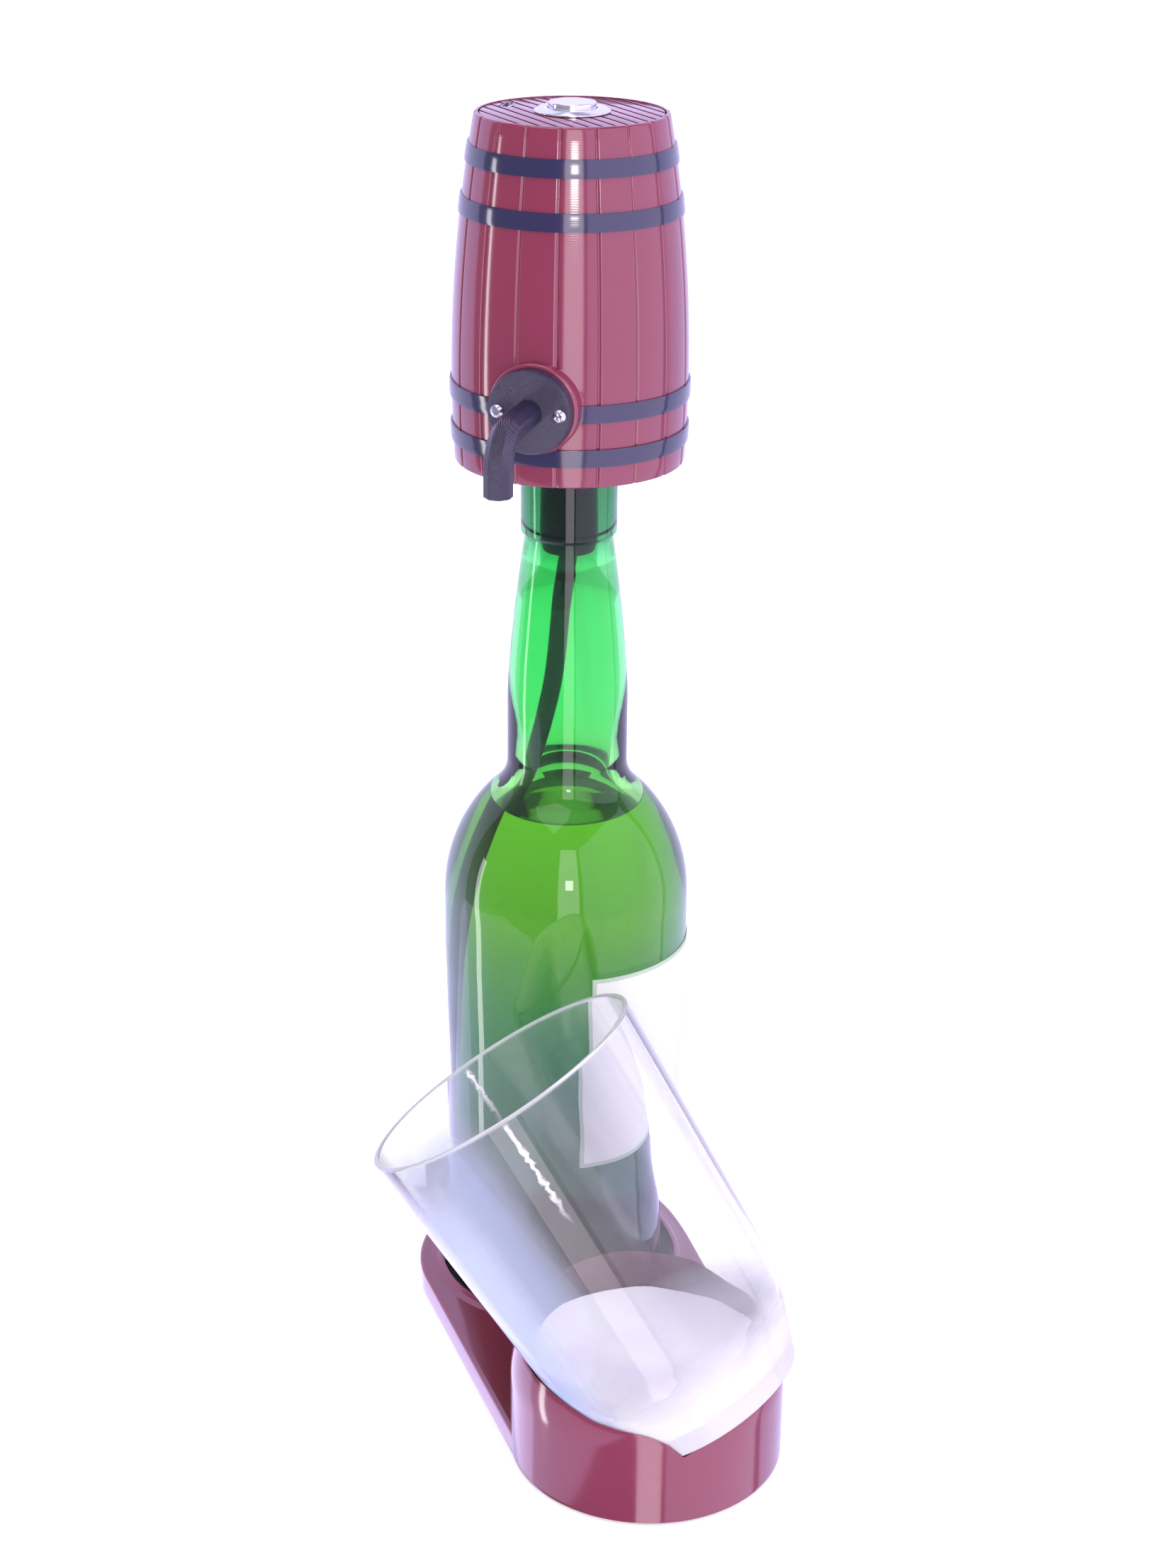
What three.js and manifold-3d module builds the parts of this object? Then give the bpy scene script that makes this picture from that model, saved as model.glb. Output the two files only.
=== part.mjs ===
// Electric cider pourer: a barrel-shaped battery pump stands on a cider bottle, the bottle stands in
// a low base, and the base holds a cider glass tilted under the spout.
// Millimetres, +Z up. The origin is on the bottle's axis, on the table. -Y faces the user.
import * as THREE from "three";
import { mergeVertices } from "three/addons/utils/BufferGeometryUtils.js";
import Module from "manifold-3d";

const wasm = await Module();
wasm.setup();

// Values that every piece shares
const weld = 0.001; // points closer than this are one point
const overrun = 1; // how far a cutting body runs past the face it cuts
const clearance = 0.3; // gap between pieces that only rest on or lie in each other
const running_gap = 0.1; // radial gap of a turning fit
const degree = Math.PI / 180;
const fine_sides = 32; // sides of a large round
const mid_sides = 16;
const small_sides = 8;

// Base slab and its feet
const slab_top = 8.6;
const slab_edge_round = 1.5;
const pad_thickness = 0.8; // rubber feet, which lift the base off the table
const rear_pad_radius = 36;
const front_pad_radius = 26;
const recess_floor = 3.6;
const lip_rise = 1.3; // raised lip round the seat, above the slab
const lip_crest = 1.2;
const lip_skirt = 4.4;
const slab_rim = 3.9; // from the lip's skirt to the slab's edge
const mat_thickness = 1.4;
const mat_inset = 0.5;
const tongue_top = 2.9; // the slab's thin tongue, which the cradle stands on
const tongue_inset = 4;

// Cradle, a drum whose top is a slanted seat
const cradle_x = 27.4;
const cradle_y = -98.2;
const cradle_radius = 43;
const cradle_straight = 27; // height at which the side starts to round over
const cradle_round = 30;
const cradle_screw_reach = 33; // screws' distance from the drum's axis
const cradle_screw_angles = [178, 48, -48].map((turn) => turn * degree);
const cradle_screw_length = 12;

// Glass, leaning in the cradle
const glass_foot = new THREE.Vector3(47.35, -110.4, 24.85); // middle of its underside
const glass_lean_left = 32.9 * degree;
const glass_lean_back = 11.7 * degree;
const glass_height = 122.6;
const glass_foot_radius = 30.6;
const glass_taper_radius = 39.9; // where the foot's taper meets the wall
const glass_taper_height = 29;
const glass_mouth_radius = 45.75;
// Share of the taper's height, share of its widening
const glass_taper = [
  [0.1, 0.1],
  [0.41, 0.45],
  [0.62, 0.73],
  [0.81, 0.93],
  [1, 1],
];
const glass_wall = 1.8;
const glass_floor = 7;
const glass_foot_round = 0.8;
const glass_inner_round = 3;
const glass_gap = 0.45; // between the glass and its seat

// Bottle
const bottle_foot = recess_floor + mat_thickness; // height of its underside
const bottle_mouth = 296; // height of its mouth
const bottle_wall = 3.2;
const bottle_floor = 5;
const heel_radius = 37.6;
const recess_gap = 4.1; // between the heel and the side of its seat
const recess_radius = heel_radius + recess_gap;
const slab_radius = recess_radius + lip_skirt + slab_rim; // round end under the bottle
const heel_round = 4;
const heel_top = 50; // the body widens from here
const body_radius = 40;
const body_full = 126; // to here
const shoulder_start = 149;
const shoulder_round = 51;
const neck_radius = 19.35;
const neck_fillet = 12;
const neck_taper_start = 218;
const neck_top_radius = 13.8;
const lip_bottom = 272; // band round the mouth
const lip_radius = 15.15;
const lip_round = 1.6;
const mouth_bore = 9.25;
const bore_depth = 34;
const punt_radius = 28; // hollow of the bottle's underside
const punt_depth = 9;

// Label
const label_low = 60.2;
const label_high = 134.3;
const label_gap = 0.12;
const label_thickness = 0.3;
const label_start = 13 * degree; // right of the front
const label_sweep = 150 * degree;

// Barrel, whose heights are counted from its underside
const barrel_bottom = 296.3;
const barrel_height = 105.4;
const belly_radius = 36.4;
const belly_height = 26;
const barrel_top_radius = 29.2;
const barrel_wall = 2.4;
const rim_wall = 1.3;
const stave_count = 18;
const stave_seam_depth = 0.5;
const stave_seam_half = 0.9 * degree; // half of a seam's width
const stave_turn = -6 * degree; // a seam lies here, left of the front
const shell_steps = 7; // rings of the shell's outside
const shell_inner_steps = 3;
const hoop_width = 5.3;
const hoop_gap = 0.25;
const hoop_thickness = 0.6;
const hoop_drops = [11.4, 26.5]; // middles of the upper hoops, below the rim
const hoop_rises = [22.9, 9.3]; // of the lower hoops, above the underside

// Top plate with its planks
const plate_thickness = 3;
const plate_sink = 0.2; // below the rim
const ledge_width = 1.5;
const ledge_height = 2;
const plank_pitch = 4;
const plank_groove = 0.9;
const plank_groove_depth = 0.5;
const plank_turn = -62 * degree;

// Bottom cover and its screws
const cover_thickness = 3;
const cover_hole_gap = 0.3;
const boss_sink = 0.6; // how far a boss runs into the barrel's wall
const boss_radius = 4.2;
const boss_height = 10;
const boss_angles = [90, 200, 320].map((turn) => turn * degree);
const screw_head_radius = 2.5;
const screw_head_height = 1.6;
const screw_shank_radius = 1.3;
const screw_length = 10;

// Stopper in the bottle's mouth, whose heights are counted from the mouth
const stopper_radius = 8.9;
const stopper_depth = 30;
const stopper_taper = 0.5;
const collar_radius = 11.2;
const stopper_flange_radius = 14.4;
const stopper_flange_height = 2;
const ring_drops = [8, 20]; // seal rings below the mouth
const ring_radius = 0.6;
const ring_groove_depth = 1;
const spigot_radius = 2.1;
const spigot_bore = 1.2;
const spigot_height = 7;
const vent_radius = 0.8;
const vent_reach = 5.8;

// Suction tube from the stopper down into the cider: x and height of its middle
const suction_radius = 3;
const suction_bore = 2;
const suction_insert = 15; // length inside the stopper
const suction_route = [
  [0, 281],
  [0, 266],
  [-1.9, 252],
  [-4.2, 226],
  [-7.7, 208],
  [-12, 194],
  [-16.2, 183],
  [-20, 171],
  [-23.6, 157],
  [-26.6, 139],
  [-28.8, 115],
  [-30, 85],
  [-30.2, 50],
  [-29.4, 18],
];
const suction_steps = 22;
const tube_sides = 8;

// Spout: a boss on the barrel, a flange and an eight-sided elbow
const spout_turn = -16 * degree; // left of the front
const spout_height = 24.6;
const spout_boss_radius = 13.8;
const spout_boss_face = 39;
const flange_radius = 12.8;
const flange_thickness = 4.3;
const flange_chamfer = 0.6;
const spout_flat = 8; // across two flats
const spout_bore = 2.5;
const spout_reach = 72;
const spout_bend = 10;
const spout_drop = 17.2; // from the flange's middle to the outlet
const spout_inner_end = 26;
const nipple_length = 6;
const flange_screw_spread = 9.6;
const flange_screw_head_radius = 2;
const flange_screw_head_height = 1.3;
const flange_screw_length = 7;

// Push button
const bezel_radius = 11.5;
const bezel_height = 1.5;
const bezel_slope = 1.6;
const button_radius = 7.2;
const button_gap = 0.3;
const button_rise = 1.6; // of the cap above the bezel
const button_travel = 2;
const button_collar_radius = 8;
const button_lip = 2; // thickness of the bezel's lip, which holds the cap in
const button_cap_height = 6;
const button_stem_radius = 2.4;
const housing_radius = 9.3;
const housing_length = 13.5;
const housing_floor = 1.5;
const nut_radius = 12.2;
const nut_height = 2.4;
const spring_radius = 4.2;
const spring_wire = 0.4;
const spring_turns = 3;
const insert_radius = 7.6;
const insert_height = 3;

// Charging socket and its board
const socket_reach = 22.6;
const socket_angle = 149.5 * degree;
const socket_turn = 78 * degree; // direction of the slot's length
const socket_length = 9;
const socket_width = 3.2;
const socket_depth = 7.4;
const socket_wall = 0.4;
const socket_tongue = 0.7;
const board_width = 12;
const board_height = 20;
const board_thickness = 1.2;
const rail_width = 1.4;
const rail_length = 6;

// Pump and motor, whose axis is the drive gear's
const motor_x = -11;
const motor_radius = 12;
const motor_low = 57.6;
const motor_head_room = 23.8; // from the motor's top to the barrel's rim
const motor_length = barrel_height - motor_head_room - motor_low;
const shaft_radius = 1;
const shaft_low = 44;
const pump_low = 42;
const pump_height = 15.3;
const pump_radius = 12;
const pump_wall = 2;
const gear_teeth = 12;
const gear_pitch_radius = 4.2;
const gear_addendum = 0.62;
const gear_dedendum = 0.85;
const gear_height = 7;
const gear_backlash_share = 0.14;
const tooth_tip_share = 0.26;
const port_spread = 5.2;
const port_radius = 2.1;
const port_length = 6;
const pump_cover_height = 2;

// Frame inside the barrel
const frame_wall_x = 4;
const frame_wall = 2;
const frame_width = 40;
const frame_low = 8;
const frame_head_room = 21.4; // from the frame's top to the barrel's rim
const frame_high = barrel_height - frame_head_room;
const leg_width = 8;
const leg_depth = 6;
const ring_wall = 1.7;
const ring_height = 4;
const pump_ring_low = 46;
const motor_ring_share = 0.43; // where the ring sits along the motor
const motor_ring_low = motor_low + motor_length * motor_ring_share;
const link_width = 9;

// Battery
const cell_radius = 9.2;
const cell_low = 20;
const cell_head_room = 20.4; // from the cells' shoulders to the barrel's rim
const cell_length = barrel_height - cell_head_room - cell_low;
const cell_x = 17.5;
const cell_gap = 0.2; // between the two cells
const nub_radius = 2.8;
const nub_height = 0.8;
const holder_wall = 1.6;
const holder_reach = 28.4;

// Hoses inside the barrel
const hose_radius = 3;
const hose_bore = 2.45;
const inlet_bends = [
  [-2.4, 0.8, 5.5],
  [-7.6, 2.6, 11],
  [-12.8, 4.4, 16],
]; // places between the stopper's spigot and the pump, counted from the spigot's top
const outlet_bends = [
  [-14.3, -6.2, 28.4],
  [-10.6, -8.6, 25.2],
  [-6.2, -12.2, 24.6],
]; // places between the pump and the spout

// Colours and finishes
const burgundy = finish(0x7c2340, 0.32, 0);
const hoop_black = finish(0x22222c, 0.4, 0);
const printed_black = finish(0x17171b, 0.6, 0);
const rubber_black = finish(0x101012, 0.85, 0);
const steel = finish(0xb8bbc0, 0.25, 1);
const bottle_green = finish(0x2f9a4f, 0.05, 0, 0.5);
const clear_glass = finish(0xf2fbff, 0.02, 0, 0.3);
const label_white = finish(0xf5f6f2, 0.6, 0);
const board_green = finish(0x1f6b3a, 0.5, 0);
const cell_wrap = finish(0x3d6fb5, 0.4, 0);
const grey_plastic = finish(0x8b8f94, 0.5, 0);
const silicone = finish(0xe4e2da, 0.45, 0);

function finish(colour, roughness, metalness, opacity = 1) {
  return new THREE.MeshStandardMaterial({
    color: colour,
    roughness,
    metalness,
    opacity,
    transparent: opacity < 1,
  });
}

// A closed geometry as a solid that can be joined and cut, with its faces turned outwards
function solid(geometry) {
  const loose = geometry.index ? geometry.toNonIndexed() : geometry;
  const bare = new THREE.BufferGeometry();
  bare.setAttribute("position", loose.getAttribute("position"));
  const merged = mergeVertices(bare, weld);
  const corners = merged.index.array;
  const kept = [];
  for (let i = 0; i < corners.length; i += 3) {
    const [a, b, c] = corners.slice(i, i + 3);
    if (a !== b && b !== c && c !== a) kept.push(a, b, c);
  }
  const make = (triangles) =>
    new wasm.Manifold(
      new wasm.Mesh({
        numProp: 3,
        vertProperties: merged.getAttribute("position").array,
        triVerts: new Uint32Array(triangles),
      }),
    );
  const made = make(kept);
  return made.volume() < 0 ? make(kept.reverse()) : made;
}

function geometryOf(body) {
  const mesh = body.getMesh();
  const geometry = new THREE.BufferGeometry();
  geometry.setAttribute(
    "position",
    new THREE.BufferAttribute(mesh.vertProperties, 3),
  );
  geometry.setIndex(new THREE.BufferAttribute(mesh.triVerts, 1));
  return geometry;
}

function join(...parts) {
  return geometryOf(parts.map(solid).reduce((a, b) => a.add(b)));
}

function cut(part, ...tools) {
  return geometryOf(
    tools.map(solid).reduce((body, tool) => body.subtract(tool), solid(part)),
  );
}

function common(a, b) {
  return geometryOf(solid(a).intersect(solid(b)));
}

// Adds one named piece to a group
function add(group, name, geometry, material) {
  const body = geometryOf(solid(geometry));
  body.computeVertexNormals();
  const mesh = new THREE.Mesh(body, material);
  mesh.name = name;
  group.add(mesh);
  return mesh;
}

// A round about Z from its half profile of [radius, height] points
function turned(profile, sides = fine_sides) {
  const points = profile.map(([r, z]) => new THREE.Vector2(r, z));
  return new THREE.LatheGeometry(points, sides).rotateX(Math.PI / 2);
}

// A round about Z with a hole through it, from a closed profile
function turnedRing(profile, sides = fine_sides) {
  return turned([...profile, profile[0]], sides);
}

function disc(radius, low, high, sides = mid_sides) {
  return turned(
    [
      [0, low],
      [radius, low],
      [radius, high],
      [0, high],
    ],
    sides,
  );
}

function washer(inner, outer, low, high, sides = mid_sides) {
  return turnedRing(
    [
      [inner, low],
      [outer, low],
      [outer, high],
      [inner, high],
    ],
    sides,
  );
}

function block(x0, x1, y0, y1, z0, z1) {
  return new THREE.BoxGeometry(x1 - x0, y1 - y0, z1 - z0).translate(
    (x0 + x1) / 2,
    (y0 + y1) / 2,
    (z0 + z1) / 2,
  );
}

// Points of a circular arc in a half profile
function arc(centre, radius, from, to, steps) {
  const points = [];
  for (let i = 0; i <= steps; i += 1) {
    const turn = from + ((to - from) * i) / steps;
    points.push([
      centre[0] + radius * Math.cos(turn),
      centre[1] + radius * Math.sin(turn),
    ]);
  }
  return points;
}

// The outline round two circles, one at the origin and one at x, y
function hullShape(radius, x, y, far_radius) {
  const heading = Math.atan2(y, x);
  const half = Math.acos((radius - far_radius) / Math.hypot(x, y));
  const shape = new THREE.Shape();
  shape.absarc(
    0,
    0,
    radius,
    heading + half,
    heading - half + 2 * Math.PI,
    false,
  );
  shape.absarc(x, y, far_radius, heading - half, heading + half, false);
  return shape;
}

function slabOf(shape, low, high, edge_round = 0) {
  const arc_steps = 16;
  return new THREE.ExtrudeGeometry(shape, {
    depth: high - low - 2 * edge_round,
    curveSegments: arc_steps,
    bevelEnabled: edge_round > 0,
    bevelThickness: edge_round,
    bevelSize: edge_round,
    bevelOffset: -edge_round,
    bevelSegments: 2,
  }).translate(0, 0, low + edge_round);
}

// A tube with a bore along a curve
function tubeAlong(
  points,
  outer,
  bore,
  steps,
  sides = tube_sides,
  tension = 0.5,
) {
  const ring = new THREE.Shape();
  const hole = new THREE.Path();
  for (let i = 0; i < sides; i += 1) {
    const turn = (2 * Math.PI * i) / sides;
    const [c, s] = [Math.cos(turn), Math.sin(turn)];
    if (i === 0) {
      ring.moveTo(outer * c, outer * s);
      hole.moveTo(bore * c, bore * s);
    } else {
      ring.lineTo(outer * c, outer * s);
      hole.lineTo(bore * c, bore * s);
    }
  }
  ring.closePath();
  hole.closePath();
  if (bore > 0) ring.holes.push(hole);
  const path = new THREE.CatmullRomCurve3(
    points.map((p) => new THREE.Vector3(...p)),
    false,
    "catmullrom",
    tension,
  );
  return new THREE.ExtrudeGeometry(ring, {
    steps,
    extrudePath: path,
    curveSegments: 1,
  });
}

// A countersunk screw, head down, and the hole that takes it
function countersunkScrew(head_radius, head_height, shank_radius, length) {
  return turned(
    [
      [0, 0],
      [head_radius, 0],
      [shank_radius, head_height],
      [shank_radius, length - shank_radius],
      [0, length],
    ],
    small_sides,
  );
}

function countersunkHole(head_radius, head_height, shank_radius, length) {
  return turned(
    [
      [0, -overrun],
      [head_radius + clearance, -overrun],
      [head_radius + clearance, 0],
      [shank_radius + clearance, head_height + clearance],
      [shank_radius + clearance, length + clearance],
      [0, length + clearance],
    ],
    small_sides,
  );
}

const root = new THREE.Group();

// Base: slab, cradle, rubber feet and mat

const base = new THREE.Group();
root.add(base);
const base_bottom = pad_thickness;

function cradleScrewPlaces() {
  return cradle_screw_angles.map((turn) => [
    cradle_x + cradle_screw_reach * Math.cos(turn),
    cradle_y + cradle_screw_reach * Math.sin(turn),
  ]);
}

function baseScrewHoles() {
  return cradleScrewPlaces().map(([x, y]) =>
    countersunkHole(
      screw_head_radius,
      screw_head_height,
      screw_shank_radius,
      cradle_screw_length,
    ).translate(x, y, base_bottom),
  );
}

function makeSlab() {
  const plan = hullShape(slab_radius, cradle_x, cradle_y, cradle_radius);
  const drum_room = disc(
    cradle_radius + clearance,
    0,
    slab_top + lip_rise + overrun,
    fine_sides,
  ).translate(cradle_x, cradle_y, 0);
  const upper = cut(
    slabOf(plan, base_bottom, slab_top, slab_edge_round),
    drum_room,
  );
  const tongue = slabOf(
    hullShape(
      slab_radius - slab_edge_round,
      cradle_x,
      cradle_y,
      cradle_radius - tongue_inset,
    ),
    base_bottom,
    tongue_top,
  );
  const lip_low = slab_top - overrun;
  const lip = turnedRing([
    [recess_radius - overrun, lip_low],
    [recess_radius + lip_skirt, lip_low],
    [recess_radius + lip_skirt, slab_top],
    [recess_radius + (lip_skirt + lip_crest) / 2, slab_top + lip_rise / 4],
    [recess_radius + lip_crest, slab_top + lip_rise],
    [recess_radius - overrun, slab_top + lip_rise],
  ]);
  const recess = disc(
    recess_radius,
    recess_floor,
    slab_top + lip_rise + overrun,
    fine_sides,
  );
  return cut(join(upper, tongue, lip), recess, ...baseScrewHoles());
}

const glass_seat = new THREE.Group();
glass_seat.position.copy(glass_foot);
glass_seat.rotation.set(-glass_lean_back, -glass_lean_left, 0);
glass_seat.updateMatrix();

// Side of the glass from the foot's edge to the end of its taper, grown by spare
function glassTaper(spare) {
  const widening = glass_taper_radius - glass_foot_radius;
  return glass_taper.map(([height_share, width_share]) => [
    glass_foot_radius + widening * width_share + spare,
    glass_taper_height * height_share,
  ]);
}

// Outer radius of the glass at a height over its foot
function glassRadius(height) {
  const side = [
    [glass_foot_radius, 0],
    ...glassTaper(0),
    [glass_mouth_radius, glass_height],
  ];
  const i = side.findIndex(([, z]) => z >= height);
  const [low_r, low_z] = side[i - 1];
  const [high_r, high_z] = side[i];
  return low_r + ((high_r - low_r) * (height - low_z)) / (high_z - low_z);
}

function makeCradle() {
  const top = cradle_straight + cradle_round;
  const drum = turned([
    [0, base_bottom],
    [cradle_radius, base_bottom],
    [cradle_radius, cradle_straight],
    ...arc(
      [cradle_radius - cradle_round, cradle_straight],
      cradle_round,
      0,
      Math.PI / 2,
      6,
    ).slice(1),
    [0, top],
  ]).translate(cradle_x, cradle_y, 0);
  const tongue_room = slabOf(
    hullShape(
      slab_radius,
      cradle_x,
      cradle_y,
      cradle_radius - tongue_inset + clearance,
    ),
    base_bottom - overrun,
    tongue_top + clearance,
  );
  const glass_room = turned([
    [0, -glass_gap],
    [glass_foot_radius - glass_foot_round + glass_gap, -glass_gap],
    [glass_foot_radius + glass_gap, glass_foot_round - glass_gap],
    ...glassTaper(glass_gap),
    [glass_mouth_radius + glass_gap, glass_height],
    [0, glass_height],
  ]).applyMatrix4(glass_seat.matrix);
  const holes = cradleScrewPlaces().map(([x, y]) =>
    disc(
      screw_shank_radius + clearance,
      0,
      base_bottom + cradle_screw_length + clearance,
      small_sides,
    ).translate(x, y, 0),
  );
  return cut(drum, tongue_room, glass_room, ...holes);
}

add(base, "base_slab", makeSlab(), burgundy);
add(base, "glass_cradle", makeCradle(), burgundy);
cradleScrewPlaces().forEach(([x, y], i) => {
  const screw = add(
    base,
    `cradle_screw_${i + 1}`,
    countersunkScrew(
      screw_head_radius,
      screw_head_height,
      screw_shank_radius,
      cradle_screw_length,
    ),
    steel,
  );
  screw.position.set(x, y, base_bottom);
});
add(
  base,
  "bottle_mat",
  disc(
    recess_radius - mat_inset,
    recess_floor,
    recess_floor + mat_thickness,
    fine_sides,
  ),
  rubber_black,
);
add(
  base,
  "rear_foot_pad",
  disc(rear_pad_radius, 0, pad_thickness, fine_sides),
  rubber_black,
);
const front_pad = add(
  base,
  "front_foot_pad",
  disc(front_pad_radius, 0, pad_thickness, fine_sides),
  rubber_black,
);
front_pad.position.set(cradle_x, cradle_y, 0);

// Glass, upright in the frame of its own seat

root.add(glass_seat);

function makeGlass() {
  const lip_half = glass_wall / 2;
  const round_top = glass_floor + glass_inner_round;
  const round_radius = glassRadius(round_top) - glass_wall;
  const inner_taper = glassTaper(-glass_wall).filter(([, z]) => z > round_top);
  return turned([
    [0, 0],
    [glass_foot_radius - glass_foot_round, 0],
    [glass_foot_radius, glass_foot_round],
    ...glassTaper(0),
    [glass_mouth_radius, glass_height - lip_half],
    [glass_mouth_radius - lip_half, glass_height],
    [glass_mouth_radius - glass_wall, glass_height - lip_half],
    ...inner_taper.reverse(),
    [round_radius, round_top],
    [
      round_radius - glass_inner_round * 0.3,
      glass_floor + glass_inner_round * 0.3,
    ],
    [round_radius - glass_inner_round, glass_floor],
    [0, glass_floor],
  ]);
}

add(glass_seat, "cider_glass", makeGlass(), clear_glass);

// Bottle with its label

const bottle = new THREE.Group();
root.add(bottle);

// The neck's fillet touches both the shoulder's round and the neck
const fillet_middle_r = neck_radius + neck_fillet;
const shoulder_middle_r = body_radius - shoulder_round;
const fillet_rise = Math.sqrt(
  (shoulder_round + neck_fillet) ** 2 -
    (fillet_middle_r - shoulder_middle_r) ** 2,
);
const fillet_angle = Math.atan2(
  fillet_rise,
  fillet_middle_r - shoulder_middle_r,
);

// Body, shoulder and fillet, from the heel's top to the neck
function bottleSide(inset, shoulder_steps, fillet_steps) {
  return [
    [heel_radius - inset, heel_top],
    [body_radius - inset, body_full],
    ...arc(
      [shoulder_middle_r, shoulder_start],
      shoulder_round - inset,
      0,
      fillet_angle,
      shoulder_steps,
    ),
    ...arc(
      [fillet_middle_r, shoulder_start + fillet_rise],
      neck_fillet + inset,
      fillet_angle + Math.PI,
      Math.PI,
      fillet_steps,
    ).slice(1),
  ];
}

function neckRadius(height) {
  const bend_share = 1.4; // exponent that shapes the taper
  const share =
    (height - neck_taper_start) / (lip_bottom - neck_taper_start);
  return (
    neck_radius -
    (neck_radius - neck_top_radius) * Math.max(share, 0) ** bend_share
  );
}

function neckSide(inset, top, steps) {
  const side = [];
  for (let i = 0; i <= steps; i += 1) {
    const height = neck_taper_start + ((top - neck_taper_start) * i) / steps;
    side.push([neckRadius(height) - inset, height]);
  }
  return side;
}

function makeBottle() {
  const bore_low = bottle_mouth - bore_depth;
  const inner_heel = heel_radius - bottle_wall;
  const inner_floor = bottle_foot + bottle_floor;
  const outer = [
    [0, bottle_foot + punt_depth],
    [punt_radius, bottle_foot],
    ...arc(
      [heel_radius - heel_round, bottle_foot + heel_round],
      heel_round,
      -Math.PI / 2,
      0,
      2,
    ),
    ...bottleSide(0, 5, 3),
    ...neckSide(0, lip_bottom, 4),
    [lip_radius, lip_bottom + lip_round],
    [lip_radius, bottle_mouth - lip_round],
    [lip_radius - lip_round, bottle_mouth],
    [mouth_bore, bottle_mouth],
    [mouth_bore, bore_low],
  ];
  const inner = [
    [0, inner_floor + punt_depth],
    [punt_radius, inner_floor],
    [inner_heel - heel_round, inner_floor],
    [inner_heel, inner_floor + heel_round],
    ...bottleSide(bottle_wall, 4, 2),
    ...neckSide(bottle_wall, bore_low - lip_round, 2),
  ];
  return turned([...outer, ...inner.reverse()]);
}

add(bottle, "bottle", makeBottle(), bottle_green);

function makeLabel() {
  const widening = (body_radius - heel_radius) / (body_full - heel_top);
  const inner = [
    [heel_radius + widening * (label_low - heel_top) + label_gap, label_low],
    [body_radius + label_gap, body_full],
    [body_radius + label_gap, label_high],
  ];
  const outer = inner.map(([r, z]) => [r + label_thickness, z]);
  const sleeve = turnedRing([...outer, ...inner.reverse()]);
  const wedge = new THREE.Shape();
  const reach = body_radius + label_thickness + overrun;
  const wedge_steps = 8;
  wedge.moveTo(0, 0);
  for (let i = 0; i <= wedge_steps; i += 1) {
    const turn = label_start + (label_sweep * i) / wedge_steps - Math.PI / 2;
    wedge.lineTo(2 * reach * Math.cos(turn), 2 * reach * Math.sin(turn));
  }
  wedge.closePath();
  return common(sleeve, slabOf(wedge, 0, label_high + overrun));
}

add(bottle, "bottle_label", makeLabel(), label_white);

// Stopper, its seal rings and the suction tube

const stopper = new THREE.Group();
root.add(stopper);

function makeStopper() {
  const mouth = bottle_mouth;
  const low = mouth - stopper_depth;
  const flange_low = barrel_bottom + cover_thickness + clearance;
  const flange_high = flange_low + stopper_flange_height;
  const grooves = [...ring_drops]
    .reverse()
    .flatMap((drop) => [
      [stopper_radius, mouth - drop - ring_radius - running_gap],
      [
        stopper_radius - ring_groove_depth,
        mouth - drop - ring_radius - running_gap,
      ],
      [
        stopper_radius - ring_groove_depth,
        mouth - drop + ring_radius + running_gap,
      ],
      [stopper_radius, mouth - drop + ring_radius + running_gap],
    ]);
  const body = turnedRing(
    [
      [suction_radius + clearance, low],
      [stopper_radius - stopper_taper, low],
      [stopper_radius, low + 2 * stopper_taper],
      ...grooves,
      [stopper_radius, mouth],
      [collar_radius, mouth],
      [collar_radius, flange_low],
      [stopper_flange_radius, flange_low],
      [stopper_flange_radius, flange_high],
      [spigot_radius, flange_high],
      [spigot_radius, flange_high + spigot_height],
      [spigot_bore, flange_high + spigot_height],
      [spigot_bore, low + suction_insert + clearance],
      [suction_radius + clearance, low + suction_insert + clearance],
    ],
    mid_sides,
  );
  const vent = disc(
    vent_radius,
    low - overrun,
    flange_high + overrun,
    tube_sides,
  ).translate(0, vent_reach, 0);
  return cut(body, vent);
}

add(stopper, "stopper", makeStopper(), rubber_black);
ring_drops.forEach((drop, i) => {
  const middle = stopper_radius - ring_groove_depth + ring_radius + running_gap;
  const section_sides = 6;
  const section = arc([middle, 0], ring_radius, 0, 2 * Math.PI, section_sides);
  const ring = add(
    stopper,
    `stopper_ring_${i + 1}`,
    turnedRing(section.slice(0, section_sides), mid_sides),
    rubber_black,
  );
  ring.position.z = bottle_mouth - drop;
});
add(
  stopper,
  "suction_tube",
  tubeAlong(
    suction_route.map(([x, z]) => [x, 0, z]),
    suction_radius,
    suction_bore,
    suction_steps,
  ),
  printed_black,
);

// Barrel: staved shell, hoops, top plate and bottom cover, counted from its underside

const head = new THREE.Group();
head.position.z = barrel_bottom;
root.add(head);

const stave_round =
  ((barrel_height - belly_height) ** 2 +
    (belly_radius - barrel_top_radius) ** 2) /
  (2 * (belly_radius - barrel_top_radius));

function barrelRadius(height) {
  const from_belly = height - belly_height;
  return (
    belly_radius - stave_round + Math.sqrt(stave_round ** 2 - from_belly ** 2)
  );
}

const boss_reach = barrelRadius(0) - barrel_wall - boss_radius + boss_sink;

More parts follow.
